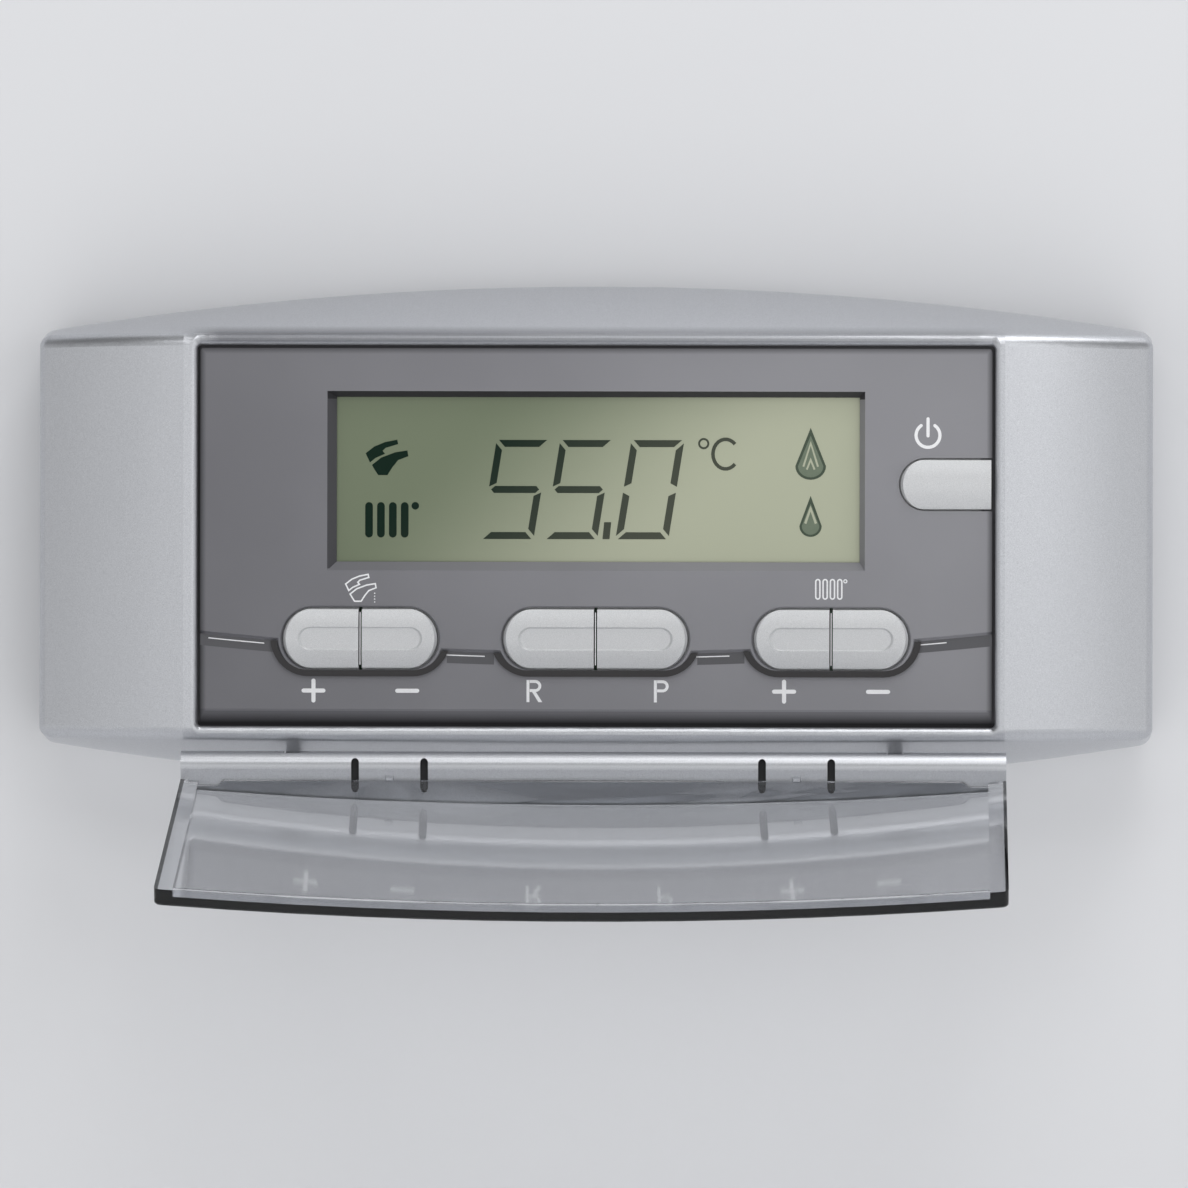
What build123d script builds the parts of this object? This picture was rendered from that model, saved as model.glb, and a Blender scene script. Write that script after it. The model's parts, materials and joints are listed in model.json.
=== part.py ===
from build123d import *
from math import asin, atan2, cos, degrees, hypot, radians, sin, sqrt
import os

# Wall-hung control unit of a heating boiler, in millimetres.
# X runs right, Z up and Y into the wall. The wall is the plane Y = 0, and the origin is the
# middle of the wall plate. A level is a distance in front of the wall, so Y = -level.

# ---- housing ----
width = 230.0
height = 104.0  # at the middle of the arched outline
depth = 34.0
crown_rise = 9.5  # how much lower the arch is at its ends than at its middle
band_drop = 1.3  # from the ends of the arch down to the flat front
cheek_run = 30.6  # the cheeks curve back over this width
cheek_drop = 12.0
cheek_angle = 8.0  # how far the cheeks turn back at their creases
band_radius = 80.0  # swell of the slanted bands
front_edge_radius = 2.8
end_edge_radius = 3.0
inner_corner_radius = 1.0
wall = 2.2
part_line = 9.0

# ---- fascia ----
opening_side = 2.4  # flat front beside the opening
opening_land = 2.0  # flat front above and below it
opening_x = 0.4
opening_z = 0.2
opening_corner = 0.8
opening_edge_radius = 1.2
opening_seat = 3.4  # depth of the opening's edge
opening_rim = 2.4
fascia_gap = 0.6
fascia_recess = 1.6
fascia_plate = 2.2
step_height = 0.7
step_bevel = 0.6
step_radius = 785.0
step_drop = 3.2  # from the line of keys down to the lowest point of the step
fascia_flange = 1.0
fascia_wall = 2.0
flange_thickness = 2.0
roll_height = 3.0
roll_depth = 1.0

# ---- display ----
display_side = 28.2  # from the sides of the opening to the display
display_drop = 9.4  # from the top of the opening to the display's bevel
display_shift_x = 0.4  # of the display, to the right and up from the middle of its bevel
display_shift_z = 0.3
key_field = 44.5  # what the display leaves of the opening's height
bezel_slope = 1.5  # width of the bevel round the display
glass_margin = 4.2
glass_thickness = 2.2
gasket_thickness = 0.5
gasket_width = 1.6
guide_thickness = 2.4
frame_wall = 1.5
contact_width = 2.0
led_count = 4
fit = 0.1  # free fit between stacked parts

# ---- keys ----
key_side_margin = 17.8  # from the sides of the opening to the outer pairs
pair_spacing = 13.7  # between neighbouring pairs
middle_pair_extra = 6.2  # how much wider the middle pair is
key_rise = 18.1  # from the foot of the opening to the line of keys
key_height = 12.2
key_split = 0.7
key_gap = 0.35
pocket_edge = 0.3  # chamfer round the pockets
key_shoulder = 1.3  # drop of the crown at its top and bottom
key_edge_radius = 0.5
key_rim = 1.1  # height of the bevelled rim
key_flange = 1.0
key_flange_thickness = 1.2
key_travel = 0.6
key_margin = 1.65  # raised border round the lower half of each pocket
groove_height = 5.2
groove_end = 3.0
groove_depth = 0.5
power_length = 18.8
power_height = 10.2
power_drop = 0.9  # below the middle of the display
power_end_gap = 0.2

# ---- board ----
board_margin_x = 6.0  # inside the opening's sides
board_margin_z = 3.7
board_depth = 8.0  # from the fascia's face to the board
board_thickness = 1.6
board_screw_inset_x = 6.0
board_screw_inset_z = 4.5
switch_size = 6.0
switch_height = 3.5
stem_radius = 1.75
stem_fit = 0.06
stem_length = 2.6
chip_size = 10.0
chip_height = 1.4
chip_inset = 42.0  # from the board's side to the middle of the chip
chip_z = 6.0
lead_count = 8
lead_spacing = 1.0
lead_width = 0.4
lead_length = 1.0
crystal_length = 11.0
crystal_width = 4.6
crystal_height = 3.5
capacitor_radius = 3.15
capacitor_height = 7.0
capacitor_inset = 26.0  # from the board's side to the outer capacitor
capacitor_step = 12.0
capacitor_spacing = 10.0
capacitor_z = 5.0

# ---- fasteners ----
screw_radius = 1.25
screw_head_radius = 2.3
screw_head_height = 1.4
screw_recess = 0.6
screw_bite = 5.0
ear_bite = 3.4
screw_fit = 0.2
boss_radius = 3.2
ear_reach = 10.0  # from the sides of the opening out to the ears' screws
ear_inset = 14.2
ear_height = 9.0
ear_drop = 1.2
ear_thickness = 2.0
cover_screw_inset_x = 11.0
cover_screw_inset_z = 15.5

# ---- rear cover and wall plate ----
cover_inset = 0.8
cover_wall = 2.0
cover_floor = 2.0
cover_foot = 0.3
lip_height = 3.0
lip_fit = 0.15
lip_wall = 1.4
plate_gap = 0.5  # between the wall plate and the cover's floor
plate_side = 27.0  # from the ends of the housing in to the plate
plate_top = 10.5  # from the ends of the arch down to the plate
plate_thickness = 2.0
plate_corner = 8.0
mount_inset_x = 28.0
mount_inset_z = 12.0
mount_hole_radius = 2.25
slot_spacing = 60.0  # holes of a flush wall box
slot_length = 9.0
cable_width = 30.0
cable_height = 18.0
cable_rise = 12.0  # from the foot of the plate to the middle of the cable hole
cover_window_margin = 2.0
hook_inset = 10.0
hook_width = 12.0
hook_stem = 2.0
hook_rise = 2.6
hook_lip = 1.2
latch_inset = 43.0
latch_rise = 6.0
latch_nub = 0.8

# ---- bus terminal ----
terminal_width = 24.0
terminal_height = 13.0
terminal_depth = 10.0
terminal_gap = 3.5  # above the cable hole
bus_spacing = 6.0
bus_pin_radius = 0.5
bus_fit = 0.1
bus_overlap = 4.0
header_height = 2.5
clamp_spacing = 16.0
clamp_radius = 1.8
wire_radius = 1.4

# ---- flap, shaped closed over the fascia and then turned down to its open rest ----
open_angle = 103.8
axis_setback = 1.7  # of the hinge, behind the flat front
axis_drop = 5.9  # of the hinge, below the flat front
flap_overlap = 2.8  # of the flap, past the sides of the opening
bar_radius = 3.0
bar_skin = 1.4
bar_curl = 125.0
rim_reach = 2.1  # from the axis forward to the rim
rim_height = 3.4
rim_width = 3.7
end_wall = 2.0
window_skin = 1.7
window_bow = 3.3
window_overlap = 0.9  # above the opening, with the flap closed
window_edge_radius = 0.6
window_corner_radius = 1.6
lap_reach = 2.2  # from the axis forward to the edge of the lap
lap_thickness = 1.2
lap_notch = 1.0
lap_notch_inset = 9.3
nub_inset = 43.0  # from the flap's ends to the middle of each pair of slots
slot_half_pitch = 7.1
slot_width = 1.6
slot_back = 2.2
slot_front = 4.5
nub_width = 1.8
nub_height = 1.5
nub_gap = 0.05
nub_taper = 8.0
lug_inset = 22.8
lug_width = 3.0
lug_radius = 1.45
lug_knee_reach = 3.9
lug_knee_angle = 228.0
lug_knee_radius = 1.1
lug_root_back = 7.0
lug_root_radius = 1.4
lug_side_gap = 0.2
web_width = 2.0
web_radius = 2.7
pin_radius = 0.75
pin_fit = 0.05

# ---- sizes and places that follow ----
crown_half_height = height / 2
end_half_height = crown_half_height - crown_rise
face_half_height = end_half_height - band_drop
flat_half_width = width / 2 - cheek_run
crown_radius = ((width / 2) ** 2 + crown_rise**2) / (2 * crown_rise)
cheek_turn = 2 * (degrees(atan2(cheek_drop, cheek_run)) - cheek_angle)
cheek_radius = hypot(cheek_run, cheek_drop) / (2 * sin(radians(cheek_turn / 2)))

opening_width = 2 * (flat_half_width - opening_side)
opening_height = 2 * (face_half_height - opening_land)
opening_top = opening_z + opening_height / 2
opening_foot = opening_z - opening_height / 2
fascia_face = depth - fascia_recess
lower_face = fascia_face - step_height
panel_back = fascia_face - fascia_plate
seat_level = depth - opening_seat
flange_back = seat_level - flange_thickness
fascia_width = opening_width - 2 * fascia_gap
fascia_height = opening_height - 2 * fascia_gap
fascia_right = opening_x + fascia_width / 2

display_width = opening_width - 2 * display_side
display_height = opening_height - key_field
bezel_width = display_width + 2 * bezel_slope
bezel_height = display_height + 2 * bezel_slope
bezel_z = opening_top - display_drop - bezel_height / 2
display_x = opening_x + display_shift_x
display_z = bezel_z + display_shift_z
glass_front = panel_back - gasket_thickness
glass_back = glass_front - glass_thickness
glass_width = display_width + 2 * glass_margin
glass_height = display_height + 2 * glass_margin

keys_width = opening_width - 2 * key_side_margin - 2 * pair_spacing
side_pair_width = (keys_width - middle_pair_extra) / 3
middle_pair_width = side_pair_width + middle_pair_extra
key_pitch = (side_pair_width + middle_pair_width) / 2 + pair_spacing
key_z = opening_foot + key_rise
key_crown = depth
step_z = key_z - step_drop
power_left = fascia_right - power_length
power_z = display_z - power_drop
flange_front = panel_back - fit
key_back = flange_front - key_flange_thickness

board_width = opening_width - 2 * board_margin_x
board_height = opening_height - 2 * board_margin_z
board_level = fascia_face - board_depth
board_back = board_level - board_thickness
board_screw_x = board_width / 2 - board_screw_inset_x
board_screw_z = board_height / 2 - board_screw_inset_z
chip_x = board_width / 2 - chip_inset
capacitor_x = capacitor_inset - board_width / 2

screw_hole_radius = screw_radius + screw_fit
ear_x = opening_width / 2 + ear_reach
ear_z = opening_height / 2 - ear_inset
cover_screw_x = width / 2 - cover_screw_inset_x
cover_screw_z = end_half_height - cover_screw_inset_z

cover_floor_back = plate_thickness + plate_gap
cover_floor_level = cover_floor_back + cover_floor
plate_width = width - 2 * plate_side
plate_height = 2 * (end_half_height - plate_top)
mount_spacing_x = plate_width - 2 * mount_inset_x
mount_spacing_z = plate_height - 2 * mount_inset_z
cable_z = cable_rise - plate_height / 2
hook_x = plate_width / 2 - hook_inset
hook_z = plate_height / 2 - hook_inset
latch_x = plate_width / 2 - latch_inset
latch_z = latch_rise - plate_height / 2
terminal_z = cable_z + cable_height / 2 + terminal_gap + terminal_height / 2
terminal_front = plate_thickness + terminal_depth

axis_level = depth - axis_setback
axis_z = -face_half_height - axis_drop
flap_half_width = opening_width / 2 + flap_overlap
window_top = opening_top + window_overlap
lug_x = flap_half_width - lug_inset
nub_x = flap_half_width - nub_inset
lap_notch_x = flap_half_width - lap_notch_inset

os.makedirs("parts", exist_ok=True)


def save(piece, name):
    """Label a finished piece and write its STEP file."""
    piece.label = name
    export_step(piece, f"parts/{name}.step")


def at(level):
    """The plane at a level, facing the room, with X right and Z up."""
    return Plane.XZ.offset(level)


def half_height(x):
    """Half the height of the arched outline at x."""
    return crown_half_height - crown_radius + sqrt(crown_radius**2 - x**2)


def band_slopes(x, front):
    """Slopes of the slanted band at its rear and front ends, in radians."""
    rise = half_height(x) - face_half_height
    run = front - part_line
    pitch = atan2(rise, run)
    half_turn = asin(hypot(rise, run) / (2 * band_radius))
    return pitch - half_turn, pitch + half_turn


def band_height(x, level):
    """Height of the outer band surface above the middle, where the front is flat."""
    pitch = sum(band_slopes(x, depth)) / 2
    middle_level = (depth + part_line) / 2
    middle_height = (half_height(x) + face_half_height) / 2
    to_center = sqrt(band_radius**2 - hypot(depth - part_line, half_height(x) - face_half_height) ** 2 / 4)
    center_level = middle_level - to_center * sin(pitch)
    center_height = middle_height - to_center * cos(pitch)
    return center_height + sqrt(band_radius**2 - (level - center_level) ** 2)


def cheek_point(share, inset):
    """Place and front level of a cheek section, from its crease (0) to its end (1)."""
    start = radians(cheek_angle)
    angle = radians(cheek_angle + share * cheek_turn)
    run = cheek_radius * (sin(angle) - sin(start)) * (1 - inset / cheek_run)
    return flat_half_width + run, depth - cheek_radius * (cos(start) - cos(angle))


def housing_section(x, front):
    """Cross-section of the housing at x: swelling bands above and below a flat front."""
    top = half_height(x)
    with BuildSketch(Plane.YZ.offset(x)) as section:
        with BuildLine():
            RadiusArc((-front, face_half_height), (-part_line, top), band_radius)
            Line((-part_line, top), (-part_line, -top))
            RadiusArc((-part_line, -top), (-front, -face_half_height), band_radius)
            Line((-front, -face_half_height), (-front, face_half_height))
        make_face()
        fillet(section.vertices().group_by(Axis.X)[0], front_edge_radius)
    return section.sketch


def hollow_section(x, front):
    """Cross-section of the housing's hollow at x, with straight walls."""
    rear_slope, front_slope = band_slopes(x, front)
    top = half_height(x) - wall / cos(rear_slope)
    face = face_half_height - wall * (1 - sin(front_slope)) / cos(front_slope)
    nose = front - wall
    with BuildSketch(Plane.YZ.offset(x)) as section:
        with BuildLine():
            Polyline((-part_line, top), (-nose, face), (-nose, -face), (-part_line, -top), close=True)
        make_face()
    return section.sketch


def barrel(section, steps, inset, ruled):
    """The form of the housing or its hollow: a flat middle between two cheeks that curve back."""
    with BuildPart() as form:
        stations = [flat_half_width * step / steps for step in range(-steps, steps + 1)]
        loft([section(x, depth) for x in stations], ruled=ruled)
        cheek_stations = [cheek_point(share, inset) for share in (0, 0.5, 1)]
        cheek = loft([section(x, front) for x, front in cheek_stations], ruled=ruled)
        mirror(cheek, about=Plane.YZ)
    return form.part


def outline(level, inset):
    """The arched outline of the housing on a level, drawn in by an inset."""
    end = width / 2 - inset
    corner = half_height(width / 2) - inset
    top = crown_half_height - inset
    with BuildSketch(at(level)) as shape:
        with BuildLine():
            ThreePointArc((-end, corner), (0, top), (end, corner))
            Line((end, corner), (end, -corner))
            ThreePointArc((end, -corner), (0, -top), (-end, -corner))
            Line((-end, -corner), (-end, corner))
        make_face()
        fillet(shape.vertices(), max(end_edge_radius - inset, inner_corner_radius))
    return shape.sketch


def rounded_slab(back, front, size, corner, center):
    """A slab between two levels with rounded corners."""
    with BuildPart() as slab:
        with BuildSketch(at(back)):
            with Locations(center):
                RectangleRounded(size[0], size[1], corner)
        extrude(amount=front - back)
    return slab.part


def rods(back, front, radius, spots):
    """Round rods between two levels, for bosses and holes."""
    with BuildPart() as group:
        with BuildSketch(at(back)):
            with Locations(*spots):
                Circle(radius)
        extrude(amount=front - back)
    return group.part


def screws(seat, bite_end, spots):
    """Screws driven from behind: heads behind their seat level, shanks in front."""
    with BuildPart() as group:
        add(rods(seat - screw_head_height, seat, screw_head_radius, spots))
        add(rods(seat, bite_end, screw_radius, spots))
    return group.part


def corners(x, z):
    """Four spots, symmetric about the middle."""
    return [(-x, -z), (x, -z), (-x, z), (x, z)]


# ---- front housing ----
opening_center = (opening_x, opening_z)
outer_form = barrel(housing_section, 1, 0, ruled=False)
hollow_form = barrel(hollow_section, 2, wall, ruled=True)
ear_front = flange_back - ear_drop
ear_back = ear_front - ear_thickness
ear_spots = corners(ear_x, ear_z)
cover_spots = corners(cover_screw_x, cover_screw_z)

with BuildPart() as housing_bosses:
    add(rods(ear_front, depth, boss_radius, ear_spots))
    add(rods(cover_floor_level, depth, boss_radius, cover_spots))
    add(outer_form.moved(Location((0, wall / 2, 0))), mode=Mode.INTERSECT)

with BuildPart() as boss_feet:
    add(rods(cover_floor_level, part_line + wall, boss_radius, cover_spots))

with BuildPart() as hinge_lugs:
    root_level = axis_level - lug_root_back
    root_z = -band_height(lug_x, root_level) + wall / 2
    knee = (
        axis_level + lug_knee_reach * cos(radians(lug_knee_angle)),
        axis_z + lug_knee_reach * sin(radians(lug_knee_angle)),
    )
    for x in (-lug_x, lug_x):
        with BuildSketch(Plane.YZ.offset(x - lug_width / 2)):
            with Locations((-axis_level, axis_z)):
                Circle(lug_radius)
            with Locations((-knee[0], knee[1])):
                Circle(lug_knee_radius)
            make_hull()
        extrude(amount=lug_width)
        with BuildSketch(Plane.YZ.offset(x - lug_width / 2)):
            with Locations((-knee[0], knee[1])):
                Circle(lug_knee_radius)
            with Locations((-root_level, root_z)):
                Circle(lug_root_radius)
            make_hull()
        extrude(amount=lug_width)
    with BuildSketch(Plane.YZ):
        with Locations((-axis_level, axis_z)):
            Circle(pin_radius + pin_fit)
    extrude(amount=width / 2, both=True, mode=Mode.SUBTRACT)

with BuildPart() as front_housing:
    add(outer_form)
    end_faces = front_housing.faces().filter_by(Axis.X).sort_by(Axis.X)
    end_edges = end_faces[0].edges() + end_faces[-1].edges()
    fillet(end_edges.filter_by(lambda e: e.center().Y < -part_line - fit), end_edge_radius)
    add(hollow_form, mode=Mode.SUBTRACT)
    rim_size = (opening_width + 2 * opening_rim, opening_height + 2 * opening_rim)
    add(rounded_slab(seat_level, depth - wall / 2, rim_size, opening_rim, opening_center))
    add(housing_bosses.part)
    add(boss_feet.part)
    add(hinge_lugs.part)
    opening_size = (opening_width, opening_height)
    add(
        rounded_slab(ear_front, depth + wall, opening_size, opening_corner, opening_center),
        mode=Mode.SUBTRACT,
    )
    front_edges = front_housing.edges().filter_by_position(Axis.Y, -depth - fit, -depth + fit)
    fillet(
        front_edges.filter_by(
            lambda e: abs(e.center().X - opening_x) < opening_width / 2 + fit
            and abs(e.center().Z - opening_z) < opening_height / 2 + fit
        ),
        opening_edge_radius,
    )
    add(rods(ear_front, ear_front + ear_bite, screw_radius, ear_spots), mode=Mode.SUBTRACT)
    add(
        rods(cover_floor_level, cover_floor_level + screw_bite, screw_radius, cover_spots),
        mode=Mode.SUBTRACT,
    )
save(front_housing.part, "front_housing")


# ---- fascia panel ----
fascia_center = (opening_x, opening_z)
fascia_size = (fascia_width, fascia_height)
display_center = (display_x, display_z)
pairs = (
    (opening_x - key_pitch, side_pair_width),
    (opening_x, middle_pair_width),
    (opening_x + key_pitch, side_pair_width),
)
board_spots = [(opening_x + x, opening_z + z) for x, z in corners(board_screw_x, board_screw_z)]


def pair_slot(level, margin):
    """The three pill outlines of the key pairs on a level, widened by a margin."""
    with BuildSketch(at(level)) as slots:
        for x, pair_width in pairs:
            with Locations((x, key_z)):
                SlotOverall(pair_width + 2 * margin, key_height + 2 * margin)
    return slots.sketch


def power_slot(level, margin, right):
    """Outline of the power key on a level: round at its left, cut straight at its right."""
    with BuildSketch(at(level)) as slot:
        with Locations((power_left - margin, power_z)):
            SlotOverall(width, power_height + 2 * margin, align=(Align.MIN, Align.CENTER))
        with Locations((right, power_z)):
            Rectangle(width, width, align=(Align.MAX, Align.CENTER), mode=Mode.INTERSECT)
    return slot.sketch


step_taper = degrees(atan2(step_bevel, step_height))
with BuildPart() as raised_zone:
    with BuildSketch(at(lower_face)):
        with BuildLine():
            reach = width / 2
            sag = step_radius - sqrt(step_radius**2 - reach**2)
            ThreePointArc((-reach, step_z + sag), (0, step_z), (reach, step_z + sag))
            Polyline((reach, step_z + sag), (reach, reach), (-reach, reach), (-reach, step_z + sag))
        make_face()
    extrude(amount=step_height, taper=step_taper)
    extrude(pair_slot(lower_face, key_margin), amount=step_height, taper=step_taper)
    with BuildSketch(at(lower_face)):
        with Locations(fascia_center):
            RectangleRounded(*fascia_size, opening_corner)
    extrude(amount=step_height, mode=Mode.INTERSECT)

with BuildPart() as display_opening:
    with BuildSketch(at(fascia_face)):
        with Locations((opening_x, bezel_z)):
            Rectangle(bezel_width, bezel_height)
    with BuildSketch(at(panel_back)):
        with Locations(display_center):
            Rectangle(display_width, display_height)
    loft(ruled=True)

with BuildPart() as fascia_panel:
    add(rounded_slab(panel_back, lower_face, fascia_size, opening_corner, fascia_center))
    bottom_z = opening_foot + fascia_gap
    with BuildSketch(Plane.YZ.offset(-width / 2)):
        with BuildLine():
            Polyline(
                (-lower_face, bottom_z),
                (-lower_face, bottom_z + roll_height),
                (-lower_face + roll_depth, bottom_z),
                close=True,
            )
        make_face()
    extrude(amount=width, mode=Mode.SUBTRACT)
    add(raised_zone.part)
    flange_size = (fascia_width + 2 * fascia_flange, fascia_height + 2 * fascia_flange)
    inside_size = (fascia_width - 2 * fascia_wall, fascia_height - 2 * fascia_wall)
    with BuildSketch(at(flange_back)):
        with Locations(fascia_center):
            RectangleRounded(*flange_size, opening_corner + fascia_flange)
            RectangleRounded(*inside_size, opening_corner, mode=Mode.SUBTRACT)
    extrude(amount=flange_thickness)
    with BuildSketch(at(panel_back)):
        with Locations(fascia_center):
            RectangleRounded(*fascia_size, opening_corner)
            RectangleRounded(*inside_size, opening_corner, mode=Mode.SUBTRACT)
    extrude(amount=-(panel_back - flange_back))
    for side in (-1, 1):
        root = opening_x + side * (fascia_width / 2 - fascia_wall)
        tip = side * (ear_x + boss_radius)
        for z in (-ear_z, ear_z):
            with BuildSketch(at(ear_back)):
                with Locations(((root + tip) / 2, z)):
                    Rectangle(abs(tip - root), ear_height)
            extrude(amount=ear_thickness)
            with BuildSketch(at(ear_back)):
                with Locations((root + side * fascia_wall / 2, z)):
                    Rectangle(fascia_wall, ear_height)
            extrude(amount=panel_back - ear_back)
    with BuildSketch(at(board_level)):
        with Locations(*board_spots):
            Circle(boss_radius)
    extrude(amount=panel_back - board_level)
    add(display_opening.part, mode=Mode.SUBTRACT)
    extrude(pair_slot(panel_back, key_gap), amount=depth - panel_back, mode=Mode.SUBTRACT)
    extrude(
        pair_slot(fascia_face, key_gap + pocket_edge),
        amount=-pocket_edge,
        taper=45,
        mode=Mode.SUBTRACT,
    )
    extrude(
        power_slot(seat_level, key_gap, fascia_right - fascia_wall),
        amount=depth - seat_level,
        mode=Mode.SUBTRACT,
    )
    extrude(
        power_slot(panel_back, key_gap, fascia_right - fascia_wall),
        amount=depth - panel_back,
        mode=Mode.SUBTRACT,
    )
    extrude(
        power_slot(seat_level, key_gap, fascia_right + opening_rim),
        amount=depth - seat_level,
        mode=Mode.SUBTRACT,
    )
    add(rods(board_level, board_level + screw_bite, screw_radius, board_spots), mode=Mode.SUBTRACT)
    add(rods(ear_back, ear_front, screw_hole_radius, ear_spots), mode=Mode.SUBTRACT)
save(fascia_panel.part, "fascia_panel")
save(screws(ear_back, ear_front + ear_bite - fit, ear_spots), "fascia_screws")


# ---- keys and their switches ----
def crown_profile(half, center_z):
    """Side view of a crowned key with rounded edges, as a prism across the whole front."""
    with BuildPart() as profile:
        with BuildSketch(Plane.YZ.offset(-width / 2)) as side_view:
            with BuildLine():
                shoulder = key_crown - key_shoulder
                low, high = center_z - half, center_z + half
                ThreePointArc((-shoulder, low), (-key_crown, center_z), (-shoulder, high))
                Polyline((-shoulder, high), (0, high), (0, low), (-shoulder, low))
            make_face()
            fillet(side_view.vertices().sort_by(Axis.X)[:2], key_edge_radius)
        extrude(amount=width)
    return profile.part


def crowned_pill(x, z, length, height):
    """A pill-shaped key front: bevelled round its rim and crowned from top to bottom."""
    rim_taper = degrees(atan2(key_edge_radius, key_rim))
    rim_level = key_crown - key_rim
    with BuildPart() as pill:
        for level, rise, taper in ((key_back, rim_level - key_back, 0), (rim_level, key_rim, rim_taper)):
            with BuildSketch(at(level)):
                with Locations((x, z)):
                    SlotOverall(length, height)
            extrude(amount=rise, taper=taper)
        add(crown_profile(height / 2, z), mode=Mode.INTERSECT)
    return pill.part


def pair_key(x, side, pair_width):
    """Half-pill key with a grooved front and a flange that keeps it in its pocket."""
    with BuildPart() as key:
        add(crowned_pill(x, key_z, pair_width, key_height))
        with BuildSketch(at(key_crown)):
            with Locations((x, key_z)):
                SlotOverall(pair_width - 2 * groove_end, groove_height)
        extrude(amount=-groove_depth, taper=45, mode=Mode.SUBTRACT)
        with BuildSketch(at(key_back)):
            with Locations((x, key_z)):
                SlotOverall(pair_width + 2 * key_flange, key_height + 2 * key_flange)
        extrude(amount=key_flange_thickness)
        with BuildSketch(at(key_back)):
            with Locations((x + side * (key_split / 2 + pair_width / 2), key_z)):
                Rectangle(pair_width, pair_width)
        extrude(amount=key_crown - key_back, mode=Mode.INTERSECT)
    return key.part


def stem(x, z):
    """Round stem of a key switch, standing against the back of its key."""
    return rods(key_back - stem_length, key_back, stem_radius, [(x, z)])


key_names = (
    ("dhw_plus", "dhw_minus"),
    ("reset", "program"),
    ("heating_plus", "heating_minus"),
)
switch_spots = []
for (x, pair_width), names in zip(pairs, key_names):
    for side, name in zip((-1, 1), names):
        spot = (x + side * pair_width / 4, key_z)
        save(pair_key(x, side, pair_width), f"{name}_key")
        save(stem(*spot), f"{name}_stem")
        switch_spots.append(spot)

power_right = fascia_right - power_end_gap
power_center_x = (power_left + fascia_right - fascia_wall) / 2
with BuildPart() as power_key:
    add(crowned_pill(power_right, power_z, 2 * (power_right - power_left), power_height))
    with BuildSketch(at(key_back)):
        with Locations((power_right, power_z)):
            Rectangle(width, width, align=(Align.MAX, Align.CENTER))
    extrude(amount=key_crown - key_back, mode=Mode.INTERSECT)
    extrude(
        power_slot(key_back, key_flange, fascia_right - fascia_wall - key_gap),
        amount=key_flange_thickness,
    )
    with BuildSketch(at(key_back)):
        with Locations((fascia_right - fascia_wall - key_gap, power_z)):
            Rectangle(width, 2 * power_height, align=(Align.MIN, Align.CENTER))
    extrude(amount=seat_level + key_travel + fit - key_back, mode=Mode.SUBTRACT)
save(power_key.part, "power_key")
save(stem(power_center_x, power_z), "power_stem")
switch_spots.append((power_center_x, power_z))

with BuildPart() as key_switch_bases:
    with BuildSketch(at(board_level)):
        with Locations(*switch_spots):
            Rectangle(switch_size, switch_size)
    extrude(amount=switch_height)
    chamfer(key_switch_bases.edges().filter_by(Axis.Y), switch_size / 12)
    well = switch_height - (key_back - stem_length - key_travel - fit - board_level)
    with BuildSketch(at(board_level + switch_height)):
        with Locations(*switch_spots):
            Circle(stem_radius + stem_fit)
    extrude(amount=-well, mode=Mode.SUBTRACT)
save(key_switch_bases.part, "key_switch_bases")


# ---- display ----
glass_size = (glass_width, glass_height)
guide_front = glass_back
guide_height = glass_height - 2 * contact_width - 4 * fit

with BuildPart() as lcd_glass:
    with BuildSketch(at(glass_back)):
        with Locations(display_center):
            Rectangle(*glass_size)
    extrude(amount=glass_thickness)
save(lcd_glass.part, "lcd_glass")

with BuildPart() as lcd_gasket:
    with BuildSketch(at(glass_front)):
        with Locations(display_center):
            Rectangle(*glass_size)
            Rectangle(
                glass_width - 2 * gasket_width, glass_height - 2 * gasket_width, mode=Mode.SUBTRACT
            )
    extrude(amount=gasket_thickness)
save(lcd_gasket.part, "lcd_gasket")

with BuildPart() as lcd_frame:
    inner_size = (glass_width + 2 * fit, glass_height + 2 * fit)
    with BuildSketch(at(board_level)):
        with Locations(display_center):
            RectangleRounded(inner_size[0] + 2 * frame_wall, inner_size[1] + 2 * frame_wall, frame_wall)
            Rectangle(*inner_size, mode=Mode.SUBTRACT)
    extrude(amount=panel_back - board_level)
save(lcd_frame.part, "lcd_frame")

with BuildPart() as backlight_guide:
    with BuildSketch(at(guide_front - guide_thickness)):
        with Locations(display_center):
            Rectangle(glass_width, guide_height)
    extrude(amount=guide_thickness)
save(backlight_guide.part, "backlight_guide")

with BuildPart() as contact_strips:
    strip_z = (glass_height - contact_width) / 2
    with BuildSketch(at(board_level)):
        with Locations((display_x, display_z + strip_z), (display_x, display_z - strip_z)):
            Rectangle(glass_width, contact_width)
    extrude(amount=glass_back - board_level)
save(contact_strips.part, "contact_strips")

with BuildPart() as backlight_leds:
    with BuildSketch(at(board_level)):
        with Locations(display_center):
            with GridLocations(display_width / led_count, 1, led_count, 1):
                Rectangle(3 * contact_width, contact_width)
    extrude(amount=guide_front - guide_thickness - board_level)
save(backlight_leds.part, "backlight_leds")

# ---- main board ----
pin_spots = [(-bus_spacing / 2, terminal_z), (bus_spacing / 2, terminal_z)]
with BuildPart() as main_board:
    add(rounded_slab(board_back, board_level, (board_width, board_height), board_thickness, fascia_center))
    add(rods(board_back, board_level, screw_hole_radius, board_spots), mode=Mode.SUBTRACT)
save(main_board.part, "main_board")
save(screws(board_back, board_level + screw_bite - fit, board_spots), "board_screws")

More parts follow.
